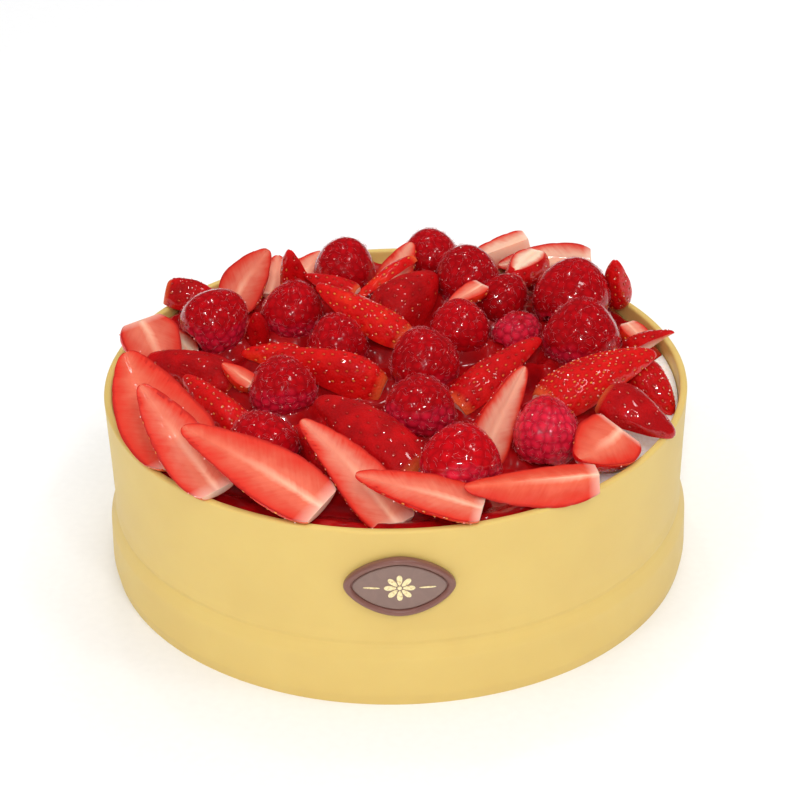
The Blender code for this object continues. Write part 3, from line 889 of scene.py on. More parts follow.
def tube_faces(start: int, around: int, rings: int) -> list:
    """Faces of a closed tube.

    Args:
        start: The number of its first point.
        around: How many points each ring has.
        rings: How many rings it has.

    Returns:
        The faces between its rings, and one across each end.
    """
    faces = []
    for base in range(start, start + (rings - 1) * around, around):
        for step in range(around):
            after = (step + 1) % around
            faces.append((base + step, base + after, base + around + after, base + around + step))
    last = start + (rings - 1) * around
    return faces + [tuple(range(last, last + around)), tuple(reversed(range(start, start + around)))]


def onto_node(points: np.ndarray, node: str) -> np.ndarray:
    """How far points move for their box to be centred on a node's box.

    Args:
        points: Points in metres, turned as the node is.
        node: The CAD node.

    Returns:
        The move, in metres.
    """
    low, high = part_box(node)
    wanted = (np.array(low) + np.array(high)) / 2
    return wanted - (points.min(0) + points.max(0)) / 2


def finish_piece(piece: bpy.types.Object, materials: tuple, nodes: tuple = ()) -> None:
    """Dress a piece, ride it on the tart and report it.

    Args:
        piece: The piece.
        materials: Its materials.
        nodes: The nodes that it stands for.
    """
    for material in materials:
        piece.data.materials.append(material)
    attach(piece, BODY)
    if nodes:
        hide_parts(*nodes)
    piece.data.calc_loop_triangles()
    LOG.info("%s: %d triangles", piece.name, len(piece.data.loop_triangles))


def noise_at(points: np.ndarray) -> np.ndarray:
    """Smooth noise at each row of points, from about -1 to 1."""
    return np.array([noise.noise(Vector(point)) for point in points])


def level_noise(points: np.ndarray, per_metre: float, offset: float = 0.0) -> np.ndarray:
    """Smooth noise that is the same at every height.

    Args:
        points: Points in metres.
        per_metre: How many times it goes up and down in a metre.
        offset: A number that makes this noise unlike another.

    Returns:
        A value for each point, from about -1 to 1.
    """
    return noise_at(points * (per_metre, per_metre, 0) + offset)


@dataclass
class Strawberry:
    """One piece of strawberry: a glazed skin with pits for its seeds, and cut faces.

    Its rings lie across its length. Each ring runs along the skin and then across each cut
    face, so that the edge of a cut is a clean line of vertices. Sizes are in millimetres, and
    places along the length go from -1 at the stem end to 1 at the tip.
    """

    fruit: Fruit
    step: float = 0.6
    cut_coarseness: float = 2.6
    bisections: int = 14
    seeds_from: float = -0.84
    seeds_reach: float = 1.78
    seed_scatter: float = 0.09
    row_share: float = 0.88
    row_stagger: float = 0.25
    row_jitter: float = 0.25
    clear_of_cut: float = 0.03
    pit_depth: float = 0.32
    pit_radius: float = 0.7
    swell: float = 0.16
    swell_steepness: float = 1.6
    seed_stands: float = 0.22
    core_groove: float = 0.3
    core_width: float = 0.16
    cut_unevenness: float = 0.12
    cut_waves_per_mm: float = 0.35
    rim_steepness: float = 4.0
    stem_nearness: float = 0.2
    crisp_edge: float = math.radians(48)

    def surface(self, x: np.ndarray, angle: np.ndarray) -> np.ndarray:
        """Points of the uncut berry.

        Args:
            x: Place along the length, from -1 at the stem end to 1 at the tip.
            angle: Angle round the length, with the cut side at a quarter turn.

        Returns:
            Points in millimetres, in the piece's own axes.
        """
        fruit = self.fruit
        ring = np.maximum(np.sqrt(np.maximum(1 - x * x, 0)), AXIS_MARGIN)
        swell = ring**BERRY_FULLNESS * (1 - BERRY_TAPER * x) / (1 + BERRY_TAPER / 4)
        unit = np.stack([x, ring * np.cos(angle), ring * np.sin(angle)], -1)
        shape = unit.shape[:-1]
        lumps = noise_at(unit.reshape(-1, 3) * BERRY_LUMP_SCALE + (fruit.seed, 0, 0)).reshape(shape)
        swell = swell * (1 + BERRY_LUMPS * lumps)
        thickness = fruit.width / 2 if fruit.kind is Kind.SLICE else fruit.depth
        bow = BERRY_BOW * fruit.length * (1 - x * x) * math.sin(fruit.seed)
        return np.stack([
            np.maximum(x, -BERRY_FLAT_END) * fruit.length / 2,
            np.cos(angle) * swell * fruit.width / 2 + bow,
            np.sin(angle) * swell * thickness,
        ], -1)

    def is_kept(self, points: np.ndarray) -> np.ndarray:
        """Which points lie on the side of the cuts that is kept.

        Args:
            points: Points of the uncut berry, in millimetres.

        Returns:
            True for each that is kept.
        """
        across, height = points[..., 1], points[..., 2]
        if self.fruit.kind is Kind.HALF:
            return height <= 0
        if self.fruit.kind is Kind.QUARTER:
            return height <= -np.abs(across) * math.tan(QUARTER_TILT)
        return np.abs(height) <= self.fruit.depth / 2

    def cut_angle(self, x: np.ndarray, inside: float, outside: float) -> np.ndarray:
        """The angle at which the skin meets the cut on each ring.

        Args:
            x: Place of each ring.
            inside: An angle on the kept side.
            outside: An angle on the side that is cut away.

        Returns:
            The angle of each ring's edge.
        """
        low = np.full_like(x, inside)
        high = np.full_like(x, outside)
        for _ in range(self.bisections):
            middle = (low + high) / 2
            kept = self.is_kept(self.surface(x, middle))
            low = np.where(kept, middle, low)
            high = np.where(kept, high, middle)
        return low

    def skin_spans(self, x: np.ndarray) -> list:
        """Pairs of angles between which the skin runs, for each ring.

        Args:
            x: Place of each ring.

        Returns:
            For each stretch of skin its first and last angle on each ring.
        """
        down = 1.5 * math.pi
        if self.fruit.kind is Kind.SLICE:
            return [
                (self.cut_angle(x, 0.0, -math.pi / 2), self.cut_angle(x, 0.0, math.pi / 2)),
                (self.cut_angle(x, math.pi, math.pi / 2), self.cut_angle(x, math.pi, down)),
            ]
        return [(self.cut_angle(x, down, math.pi), self.cut_angle(x, down, math.tau))]

    def sections(self, x: np.ndarray) -> tuple:
        """The rings of the piece.

        Args:
            x: Place of each ring.

        Returns:
            Points, nearness to the rim and whether each column is cut, ring by ring.
        """
        fruit = self.fruit
        spans = self.skin_spans(x)
        girth = math.pi * (fruit.width + min(fruit.width, 2 * fruit.depth)) / 4
        skin_count = max(10, round(girth / self.step / len(spans)))
        cut_count = 2 * max(6, round(fruit.width / self.step / self.cut_coarseness))
        columns, rims, cuts = [], [], []
        edges = [(self.surface(x, start), self.surface(x, end)) for start, end in spans]
        for index, (start, end) in enumerate(spans):
            for step in range(skin_count + 1):
                columns.append(self.surface(x, start + (end - start) * step / skin_count))
                rims.append(np.ones_like(x))
                cuts.append(False)
            first = edges[index][1]
            last = edges[(index + 1) % len(spans)][0]
            middle = (first + last) / 2
            if fruit.kind is Kind.QUARTER:
                middle = middle * (1, 0, 0)
            for step in range(1, cut_count):
                share = 2 * step / cut_count
                if share <= 1:
                    columns.append(first + (middle - first) * share)
                else:
                    columns.append(middle + (last - middle) * (share - 1))
                rims.append(np.full_like(x, abs(share - 1)))
                cuts.append(True)
        return np.stack(columns, 1), np.stack(rims, 1), np.array(cuts)

    def seed_places(self) -> list:
        """Places of the seeds on the skin, in staggered rows: pairs of x and angle.

        Returns:
            Pairs of place along the length and angle round it, one for each seed.
        """
        fruit = self.fruit
        draw = random.Random(int(fruit.seed) + 100)
        rows = max(3, round(fruit.length * self.row_share / fruit.seeds))
        found = []
        for row in range(rows):
            x = self.seeds_from + self.seeds_reach * (row + 0.5) / rows
            for start, end in self.skin_spans(np.array([x])):
                spread = self.surface(np.full(9, x), np.linspace(start[0], end[0], 9))
                arc = np.linalg.norm(np.diff(spread, axis=0), axis=1).sum()
                count = int(arc / fruit.seeds)
                for place in range(count):
                    scatter = draw.uniform(-self.seed_scatter, self.seed_scatter) / count
                    share = (place + 0.5 + self.row_stagger * (-1) ** row) / count + scatter
                    jitter = draw.uniform(-self.row_jitter, self.row_jitter) / rows
                    if self.clear_of_cut < share < 1 - self.clear_of_cut:
                        found.append((x + jitter, start[0] + (end[0] - start[0]) * share))
        return found

    def distance_to_seeds(self, points: np.ndarray, seeds: list) -> np.ndarray:
        """How far each point is from the nearest seed, in millimetres.

        Args:
            points: Points of the piece, in millimetres.
            seeds: Pairs of place along the length and angle round it, one for each seed.

        Returns:
            The distances.
        """
        spots = self.surface(*np.array(seeds).T)
        tree = KDTree(len(spots))
        for index, spot in enumerate(spots):
            tree.insert(spot, index)
        tree.balance()
        return np.array([tree.find(point)[2] for point in points])

    def build(self, skin: bpy.types.Material, flesh: bpy.types.Material) -> list:
        """Model the piece in its place.

        Args:
            skin: Material of the skin.
            flesh: Material of the cut faces.

        Returns:
            For each seed its centre, its length's direction and the way out, in metres, and the
            tone of the skin round it.
        """
        fruit = self.fruit
        rings = max(16, round(fruit.length / self.step))
        grid, rims, cuts = self.sections(np.cos(math.pi * np.arange(1, rings) / rings))
        segments = grid.shape[1]
        piece = add_sphere(f"{fruit.name}_piece", segments, rings)
        unit = points_of(piece)
        row = np.rint(np.arccos(np.clip(unit[:, 0], -1, 1)) / math.pi * rings).astype(int)
        turn = np.rint(np.arctan2(unit[:, 2], unit[:, 1]) / math.tau * segments).astype(int) % segments
        inner = np.clip(row - 1, 0, rings - 2)
        points = grid[inner, turn]
        rim = rims[inner, turn]
        for pole, x in ((0, 1.0), (rings, -1.0)):
            points[row == pole] = self.surface(np.array([x]), np.array([-math.pi / 2]))[0]
        x_share = np.cos(math.pi * row / rings)
        is_cut = cuts[turn] & (row > 0) & (row < rings)
        at_stem = x_share < -BERRY_FLAT_END
        seeds = self.seed_places()
        near = self.distance_to_seeds(points, seeds)
        move_points(piece, points)
        facing = points_of(piece, "normal")
        pit = np.exp(-((near / self.pit_radius) ** 2))
        between = 1 - np.exp(-((near / fruit.seeds * self.swell_steepness) ** 2))
        lift = np.where(is_cut | (rim < 1) | at_stem, 0.0, self.swell * between - self.pit_depth * pit)
        groove = -self.core_groove * np.exp(-((rim / self.core_width) ** 2))
        groove = groove + self.cut_unevenness * noise_at(points * self.cut_waves_per_mm)
        lift = np.where(is_cut & ~at_stem, groove * np.minimum(1, (1 - rim) * self.rim_steepness), lift)
        shaped = (points + facing * lift[:, None]) * MM @ fruit.turn.T
        move = onto_node(points * MM @ fruit.turn.T, fruit.name)
        add_vectors(piece, "cut", (np.where(at_stem, self.stem_nearness, rim), x_share, fruit.pale))
        # pit dents the skin and also darkens it there as painted shade
        add_vectors(piece, "skin", (fruit.tone, pit, x_share))
        add_vectors(piece, "berry", (points[:, 0], points[:, 1], fruit.seed))
        move_points(piece, shaped + move)
        piece.data.materials.append(skin)
        piece.data.materials.append(flesh)
        for face in piece.data.polygons:
            corners = list(face.vertices)
            face.material_index = int(is_cut[corners].any() or at_stem[corners].all())
        clean_up(piece, merge=True)
        bpy.ops.object.shade_smooth_by_angle(angle=self.crisp_edge)
        finish_piece(piece, (), (fruit.name,))
        return self.seed_frames(seeds, move)

    def seed_frames(self, seeds: list, move: np.ndarray) -> list:
        """Centre, length direction and outward direction of each seed, and its skin's tone.

        Args:
            seeds: Pairs of place along the length and angle round it, one for each seed.
            move: How far the piece is moved, in metres.

        Returns:
            A row for each seed, in metres.
        """
        x, angle = np.array(seeds).T
        centre = self.surface(x, angle)
        length = self.surface(x + 0.01, angle) - self.surface(x - 0.01, angle)
        around = self.surface(x, angle + 0.02) - self.surface(x, angle - 0.02)
        out = np.cross(length, around)
        out /= np.linalg.norm(out, axis=1)[:, None]
        length /= np.linalg.norm(length, axis=1)[:, None]
        outward = np.sign(np.einsum("ij,ij->i", out, centre * (0, 1, 1)))[:, None]
        out = out * np.where(outward == 0, 1, outward)
        centre = (centre - out * (self.pit_depth - self.seed_stands)) * MM
        turn = self.fruit.turn.T
        tones = np.full(len(centre), self.fruit.tone)
        return list(zip(centre @ turn + move, length @ turn, out @ turn, tones))


@dataclass
class SeedScatter:
    """All the strawberry seeds, as one piece: flat drops, each sunk in its pit."""

    length_mm: float = 1.05
    width_mm: float = 0.66
    thickness_mm: float = 0.45
    taper: float = 0.35

    def build(self, places: list, husk: bpy.types.Material) -> None:
        """Copy one seed to every place.

        Args:
            places: Centre, length direction, outward direction and skin tone of each seed.
            husk: The seeds' material.
        """
        shape, faces = ball(8, 6)
        narrow = 1 - self.taper * shape[:, :1]
        shape = shape * np.hstack([np.ones_like(narrow), narrow, narrow])
        shape = shape * (self.length_mm / 2, self.width_mm / 2, self.thickness_mm / 2) * MM
        copies = [shape @ np.stack([length, np.cross(out, length), out]) + centre
                  for centre, length, out, _ in places]
        piece = copies_piece("strawberry_seeds", copies, faces)
        tones = np.repeat([tone for *_, tone in places], len(shape))
        piece.data.attributes.new("tone", "FLOAT", "POINT").data.foreach_set("value", tones)
        finish_piece(piece, (husk,))


@dataclass
class Raspberry:
    """One raspberry: drupelets in staggered rings round a hollow stem end.

    Sizes are in millimetres. The tip is at +X, and glaze lies on the side that faces up.
    """

    fruit: Fruit
    drupelet: float = 3.1
    relief: float = 0.9
    subdivisions: int = 6
    valley_share: float = 0.8
    crown_share: float = 0.78
    crown_level: float = 0.72
    glaze_smooths: float = 0.78
    glaze_thickness: float = 0.25
    glaze_edge: float = 0.35
    glaze_ragged: float = 0.25
    glaze_waves: float = 2.2
    glaze_lean: float = 0.15
    bare_level: float = 1.3
    glaze_range: float = 2.2
    drift_round: float = 0.3
    drift_along: float = 0.28
    own_tone: float = 0.35
    hairs: int = 3

    def drupelets(self) -> np.ndarray:
        """Directions of the drupelets' crowns, as unit rows.

        Returns:
            The directions.
        """
        radius = self.fruit.radius
        draw = random.Random(int(self.fruit.seed))
        rows = round(math.pi * radius / self.drupelet)
        found = [(1.0, 0.0, 0.0)]
        for row in range(1, rows):
            polar = math.pi * row / rows
            count = max(3, round(math.tau * radius * math.sin(polar) / self.drupelet))
            for place in range(count):
                drift = draw.uniform(-self.drift_round, self.drift_round)
                angle = math.tau * (place + 0.5 * (row % 2) + drift) / count
                tilt = polar + draw.uniform(-self.drift_along, self.drift_along) * math.pi / rows
                found.append((math.cos(tilt), math.sin(tilt) * math.cos(angle),
                              math.sin(tilt) * math.sin(angle)))
        return np.array(found)

    def form(self, unit: np.ndarray, relief: np.ndarray) -> np.ndarray:
        """The raspberry's points in metres, turned as it lies but not yet moved.

        Args:
            unit: Directions, as unit rows.
            relief: How far each point stands out of the plain form, in millimetres.

        Returns:
            The points.
        """
        fruit = self.fruit
        lump = 1 + RASPBERRY_LUMPS * noise_at(unit + (fruit.seed, 0, 0))
        scale = (1 + relief / fruit.radius) * lump
        hollow = HOLLOW_DEPTH * np.maximum(0, -unit[:, 0] - HOLLOW_START) / (1 - HOLLOW_START)
        around = scale * (1 - RASPBERRY_TAPER * unit[:, 0])
        return np.stack([
            (unit[:, 0] * scale + hollow) * fruit.length / 2,
            unit[:, 1] * around * fruit.width / 2,
            unit[:, 2] * around * fruit.depth / 2,
        ], 1) * MM @ fruit.turn.T

    def glaze(self, unit: np.ndarray) -> np.ndarray:
        """How much glaze lies on each point, from 0 to 1, with a ragged edge.

        Args:
            unit: Directions of the points, as unit rows.

        Returns:
            The share at each point.
        """
        fruit = self.fruit
        turned = unit @ fruit.turn.T
        ragged = self.glaze_ragged * noise_at(unit * self.glaze_waves + (fruit.seed, 3, 0))
        level = self.bare_level - self.glaze_range * fruit.pale
        height = turned[:, 2] + self.glaze_lean * turned[:, 1] + ragged - level
        return np.clip(height / self.glaze_edge + 0.5, 0, 1)

    def build(self, skin: bpy.types.Material) -> list:
        """Model the raspberry in its place.

        Args:
            skin: The drupelets' material.

        Returns:
            For each hair its foot and the way out, in metres.
        """
        fruit = self.fruit
        bpy.ops.object.select_all(action="DESELECT")
        bpy.ops.mesh.primitive_ico_sphere_add(subdivisions=self.subdivisions, radius=1.0)
        piece = bpy.context.object
        piece.name = f"{fruit.name}_piece"
        piece.data.name = piece.name
        unit = points_of(piece)
        unit /= np.linalg.norm(unit, axis=1)[:, None]
        crowns = self.drupelets()
        draw = random.Random(int(fruit.seed) + 50)
        tones = np.array([draw.random() for _ in crowns])
        away = np.arccos(np.clip(unit @ crowns.T, -1, 1)) * fruit.radius
        first, second = np.sort(away, 1)[:, :2].T
        valley = np.clip(1 - (second - first) / (self.valley_share * self.drupelet), 0, 1)
        cap = np.sqrt(np.clip(1 - (first / (self.crown_share * self.drupelet)) ** 2, 0.05, 1))
        glaze = self.glaze(unit)
        depth = self.relief * (1 - self.glaze_smooths * glaze)
        points = self.form(unit, (cap - self.crown_level) * depth + self.glaze_thickness * glaze)
        move = onto_node(self.form(unit, np.zeros(len(unit))), fruit.name)
        tone = self.own_tone * tones[away.argmin(1)] + (1 - self.own_tone) * fruit.tone
        # The first number, from valley, darkens the skin between drupelets as painted shade
        add_vectors(piece, "drupelet", (valley**1.5, glaze, tone))
        move_points(piece, points + move)
        select_only(piece)
        bpy.ops.object.shade_smooth()
        finish_piece(piece, (skin,), (fruit.name,))
        return self.hair_feet(crowns, move)

    def hair_feet(self, crowns: np.ndarray, move: np.ndarray) -> list:
        """Foot and outward direction of each hair: a few by each drupelet.

        Args:
            crowns: Directions of the drupelets' crowns.
            move: How far the raspberry is moved, in metres.

        Returns:
            A foot and a direction for each hair.
        """
        draw = random.Random(int(self.fruit.seed) + 9)
        spread = 0.5 * self.drupelet * 2 / self.fruit.width
        found = []
        for crown in crowns:
            for _ in range(self.hairs):
                aside = crown + np.array([draw.gauss(0, spread) for _ in range(3)])
                found.append(aside / np.linalg.norm(aside))
        unit = np.array(found)
        feet = self.form(unit, np.zeros(len(unit))) + move
        return list(zip(feet, unit @ self.fruit.turn.T))


@dataclass
class HairScatter:
    """All the raspberries' hairs, as one piece: fine curved tapers that lie on the drupelets."""

    length_mm: float = 1.7
    thickness_mm: float = 0.11
    rings: int = 4
    corners: int = 3
    curl: float = 0.5
    rise: float = 0.32
    arch: float = 2.6
    clear: float = 0.05
    taper: float = 0.6

    def build(self, feet: list, style: bpy.types.Material) -> None:
        """Grow a hair from every foot.

        Args:
            feet: Foot and outward direction of each hair.
            style: The hairs' material.
        """
        draw = random.Random(7)
        points, faces = [], []
        for foot, out in feet:
            lean = np.array([draw.gauss(0, 1) for _ in range(3)])
            lean -= out * (lean @ out)
            lean /= np.linalg.norm(lean)
            aside = np.cross(out, lean) * draw.choice((-1, 1))
            length = self.length_mm * draw.uniform(0.6, 1.3) * MM
            faces += tube_faces(len(points), self.corners, self.rings)
            for ring in range(self.rings):
                share = ring / (self.rings - 1)
                lift = self.rise * math.sin(share * self.arch) + self.clear
                spine = foot + length * (lean * share + aside * self.curl * share**2 + out * lift)
                radius = self.thickness_mm / 2 * MM * (1 - self.taper * share)
                for corner in range(self.corners):
                    angle = math.tau * corner / self.corners
                    points.append(spine + radius * (math.cos(angle) * out + math.sin(angle) * aside))
        piece = mesh_piece("raspberry_hairs", np.array(points), faces)
        clean_up(piece)
        finish_piece(piece, (style,))


@dataclass
class GlazeBeads:
    """Beads of set glaze on the fruit, as one piece: small drops coloured pale as painted glints.

    by_seeds and by_hairs are the shares of the seeds and of the hairs that have one.
    """

    radius_mm: float = 0.26
    scatter_mm: float = 1.3
    by_seeds: float = 0.55
    by_hairs: float = 0.05
    seed_lift_mm: float = 0.12
    hair_lift_mm: float = 0.3

    def build(self, places: list, feet: list, glaze: bpy.types.Material) -> None:
        """Set beads near some of the seeds and some of the hairs.

        Args:
            places: Centre, length direction, outward direction and skin tone of each seed.
            feet: Foot and outward direction of each hair.
            glaze: The beads' material.
        """
        draw = random.Random(11)
        shape, faces = ball(8, 5)
        spots = []
        for centre, length, out, _ in places:
            if draw.random() < self.by_seeds:
                along, aside = (draw.uniform(-self.scatter_mm, self.scatter_mm) for _ in range(2))
                across = np.cross(out, length) * aside
                spots.append(centre + (length * along + across + out * self.seed_lift_mm) * MM)
        for foot, out in feet:
            if draw.random() < self.by_hairs:
                spots.append(foot + out * self.hair_lift_mm * MM)
        beads = [shape * self.radius_mm * draw.uniform(0.5, 1.2) * MM + spot for spot in spots]
        finish_piece(copies_piece("glaze_beads", beads, faces), (glaze,))


def band_radius(height: np.ndarray | float) -> np.ndarray:
    """Outer radius of the band in millimetres at each height.

    Args:
        height: Heights in millimetres.

    Returns:
        The radii, with the band's bends worked soft and the crease pressed in.
    """
    heights, radii = zip(*BAND_STATIONS)
    reach = np.linspace(-BEND_REACH, BEND_REACH, 9)
    weights = np.exp(-((reach / BEND_SOFTNESS) ** 2))
    spread = np.interp(np.asarray(height)[..., None] + reach, heights, radii)
    crease = CREASE_DEPTH * np.exp(-(((np.asarray(height) - CREASE_HEIGHT) / CREASE_WIDTH) ** 2))
    return (spread * weights).sum(-1) / weights.sum() - crease


def spin_profile(name: str, profile: list, steps: int, closed: bool) -> bpy.types.Object:
    """Spin a profile round the upright axis.

    Args:
        name: The piece's name.
        profile: Radius and height of each point, in millimetres.
        steps: How many steps make the full turn.
        closed: Whether the profile's last point joins its first.

    Returns:
        The piece, with its normals outward.
    """
    mesh = bpy.data.meshes.new(name)
    edges = [(index, index + 1) for index in range(len(profile) - 1)]
    if closed:
        edges.append((len(profile) - 1, 0))
    mesh.from_pydata([(radius * MM, 0.0, height * MM) for radius, height in profile], edges, [])
    piece = bpy.data.objects.new(name, mesh)
    bpy.context.scene.collection.objects.link(piece)
    select_only(piece)
    bpy.ops.object.mode_set(mode="EDIT")
    bpy.ops.mesh.select_all(action="SELECT")
    bpy.ops.mesh.spin(steps=steps, angle=math.tau, center=(0, 0, 0), axis=(0, 0, 1))
    bpy.ops.object.mode_set(mode="OBJECT")
    clean_up(piece, merge=True)
    return piece


@dataclass
class MarzipanBand:
    """The band: one rolled strip, with a soft ledge above its foot, a crease and a rounded rim."""

    steps: int = 240
    rows: int = 130
    rim_rounding: float = 0.9
    rim_steps: int = 4
    wave_mm: float = 0.12
    waves_round: float = 2.0
    waves_per_m: float = 18.0

    def build(self, marzipan: bpy.types.Material) -> None:
        """Model the band and dress it.

        Args:
            marzipan: The band's material.
        """
        shoulder = RIM_HEIGHT - self.rim_rounding
        heights = np.linspace(0.0, shoulder, self.rows)
        outer = list(zip(band_radius(heights), heights))
        inner = [(radius - WALL, height) for radius, height in reversed(outer)]
        crest = []
        top = float(band_radius(RIM_HEIGHT))
        for centre, start in ((top - self.rim_rounding, 0.0),
                              (top - WALL + self.rim_rounding, math.pi / 2)):
            for step in range(self.rim_steps + 1):
                angle = start + math.pi / 2 * step / self.rim_steps
                crest.append((centre + self.rim_rounding * math.cos(angle),
                              RIM_HEIGHT - self.rim_rounding * (1 - math.sin(angle))))
        piece = spin_profile("marzipan_band_piece", outer[:-1] + crest + inner[1:], self.steps, True)
        points = points_of(piece)
        angle = np.arctan2(points[:, 1], points[:, 0])
        spots = np.stack([self.waves_round * np.cos(angle), self.waves_round * np.sin(angle),
                          points[:, 2] * self.waves_per_m], 1)
        radial = points * (1, 1, 0)
        radial /= np.linalg.norm(radial, axis=1)[:, None]
        move_points(piece, points + radial * (noise_at(spots) * self.wave_mm * MM)[:, None])
        bpy.ops.object.shade_smooth_by_angle(angle=CRISP_EDGE)
        finish_piece(piece, (marzipan,), ("marzipan_band",))


@dataclass
class CreamFilling:
    """The filling: solid to the base, its cream spread in soft uneven strokes."""

    steps: int = 180
    rings: int = 60
    rows: int = 20
    stroke_mm: float = 0.5
    spread_depth_mm: float = 4.0
    spread_margin_mm: float = 1.0
    strokes_per_m: float = 90.0
    streaks_per_m: float = 260.0

    def build(self, cream: bpy.types.Material) -> None:
        """Model the filling and dress it.

        Args:
            cream: The filling's material.
        """
        edge = float(band_radius(CREAM_EDGE)) - WALL - GAP
        shares = np.linspace(0, 1, self.rings)
        profile = [(edge * s, CREAM_EDGE + CREAM_CROWN * (1 - s**4)) for s in shares]
        for height in np.linspace(CREAM_EDGE, 0, self.rows)[1:]:
            profile.append((float(band_radius(height)) - WALL - GAP, float(height)))
        profile.append((0.0, 0.0))
        piece = spin_profile("cream_filling_piece", profile, self.steps, False)
        points = points_of(piece)
        radius = np.linalg.norm(points[:, :2], axis=1)
        top = points[:, 2] > (CREAM_EDGE - self.spread_depth_mm) * MM
        top &= radius < (edge - self.spread_margin_mm) * MM
        strokes = level_noise(points, self.strokes_per_m)
        strokes = strokes + 0.5 * level_noise(points, self.streaks_per_m, 7)
        points[:, 2] += np.where(top, strokes * self.stroke_mm * MM, 0)
        move_points(piece, points)
        bpy.ops.object.shade_smooth_by_angle(angle=CRISP_EDGE)
        finish_piece(piece, (cream,), ("cream_filling",))


@dataclass
class JellyPool:
    """Glazing jelly that has run down between the fruit and set on the cream. Its dark sheet
    is partly jelly and partly painted shade, laid where shade falls by the fruit and the band.

    It reaches the band all round, but for a stretch towards bare_towards, in degrees, where the
    cream shows. Sizes are in millimetres.
    """

    cell: float = 1.0
    reach: float = 81.0
    rise: float = 8.0
    low_from: float = 80.0
    slope: float = 22.0
    smoothings: int = 10
    wall_reach: float = 99.0
    wall_radius: float = 97.0
    wall_rise: float = 3.5
    wall_rise_from: float = 86.0
    bare_towards: float = -24.0
    bare_edge: float = 0.1
    film: float = 1.3
    edge: float = 7.0
    kept_from: float = -0.6
    sunk: float = 0.5
    ripple: float = 0.35
    lobe: float = 6.0
    lobes_per_m: float = 45.0
    frills_per_m: float = 140.0
    ripples_per_m: float = 220.0
    thickness: float = 1.2

    def cell_of(self, places: np.ndarray, axis: np.ndarray) -> np.ndarray:
        """The grid's row or column at each place in millimetres."""
        return np.rint((places - axis[0]) / self.cell).astype(int)

    def height_field(self, axis: np.ndarray) -> np.ndarray:
        """Heights of the jelly on a square grid, drawn up a little where fruit stands in it.

        Args:
            axis: The grid's places in both directions, in millimetres.

        Returns:
            The heights in millimetres, row by row.
        """
        field = np.full((len(axis), len(axis)), CREAM_EDGE)
        for piece in bpy.context.scene.objects:
            if piece.name.startswith(("strawberry_", "raspberry_")) and piece.name.endswith("_piece"):
                points = points_of(piece) / MM
                column, row = self.cell_of(points[:, 0], axis), self.cell_of(points[:, 1], axis)
                held = (column >= 0) & (row >= 0) & (column < len(axis)) & (row < len(axis))
                np.maximum.at(field, (row[held], column[held]), points[held, 2])
        across, up = np.meshgrid(axis, axis)
        share = np.clip((self.low_from - np.hypot(across, up)) / self.slope, 0, 1)
        field = np.minimum(field, CREAM_EDGE + CREAM_CROWN + self.rise * share)
        for _ in range(self.smoothings):
            for direction in (0, 1):
                field = (np.roll(field, 1, direction) + 2 * field + np.roll(field, -1, direction)) / 4
        return field

    def build(self, jelly: bpy.types.Material) -> None:
        """Model the jelly as a sheet with a closed underside, and dress it.

        Args:
            jelly: The jelly's material.
        """
        count = int(2 * (self.wall_radius + 2) / self.cell) + 1
        half = (count - 1) / 2 * self.cell
        axis = np.linspace(-half, half, count)
        field = self.height_field(axis)
        bpy.ops.object.select_all(action="DESELECT")
        bpy.ops.mesh.primitive_grid_add(x_subdivisions=count - 1, y_subdivisions=count - 1,
                                        size=2 * half * MM)
        piece = bpy.context.object
        piece.name = "jelly_pool_painted_shade"
        piece.data.name = "jelly_pool_painted_shade"
        points = points_of(piece)
        column, row = self.cell_of(points[:, 0] / MM, axis), self.cell_of(points[:, 1] / MM, axis)
        radius = np.linalg.norm(points[:, :2], axis=1) / MM
        ragged = self.lobe * level_noise(points, self.lobes_per_m)
        ragged = ragged + self.lobe / 2 * level_noise(points, self.frills_per_m)
        towards = np.arctan2(points[:, 1], points[:, 0]) - math.radians(self.bare_towards)
        covered = np.clip((1 - self.bare_edge - np.cos(towards)) / self.bare_edge, 0, 1)
        reach = self.reach + (self.wall_reach - self.reach) * covered
        thin = np.clip((reach + ragged - radius) / self.edge, -1, 1)
        base = CREAM_EDGE + CREAM_CROWN * (1 - (radius / self.wall_radius) ** 4)
        # Painted shade: by the band the dark jelly is drawn up the wall, where shade falls between
        # fruit and band
        at_wall = np.clip((radius - self.wall_rise_from) / self.edge, 0, 1)
        drawn = self.film + self.wall_rise * at_wall * covered
        height = np.where(thin > 0, np.maximum(field[row, column], base + drawn) * thin
                          + base * (1 - thin), base + thin)
        ripple = self.ripple * level_noise(points, self.ripples_per_m)
        points[:, 2] = (height - self.sunk + ripple * np.clip(thin, 0, 1)) * MM
        points[:, :2] *= np.minimum(1, self.wall_radius / np.maximum(radius, 1))[:, None]
        move_points(piece, points)
        select_only(piece)
        bpy.ops.object.mode_set(mode="EDIT")
        bpy.ops.mesh.select_all(action="DESELECT")
        bpy.ops.object.mode_set(mode="OBJECT")
        drop = (thin < self.kept_from) | (radius > self.wall_radius + self.cell)
        for vertex, gone in zip(piece.data.vertices, drop):
            vertex.select = bool(gone)
        bpy.ops.object.mode_set(mode="EDIT")
        bpy.ops.mesh.delete(type="VERT")
        bpy.ops.object.mode_set(mode="OBJECT")
        solid = piece.modifiers.new("underside", "SOLIDIFY")
        solid.thickness = self.thickness * MM
        solid.offset = -1.0
        bpy.ops.object.modifier_apply(modifier=solid.name)
        bpy.ops.object.shade_smooth()
        finish_piece(piece, (jelly,))


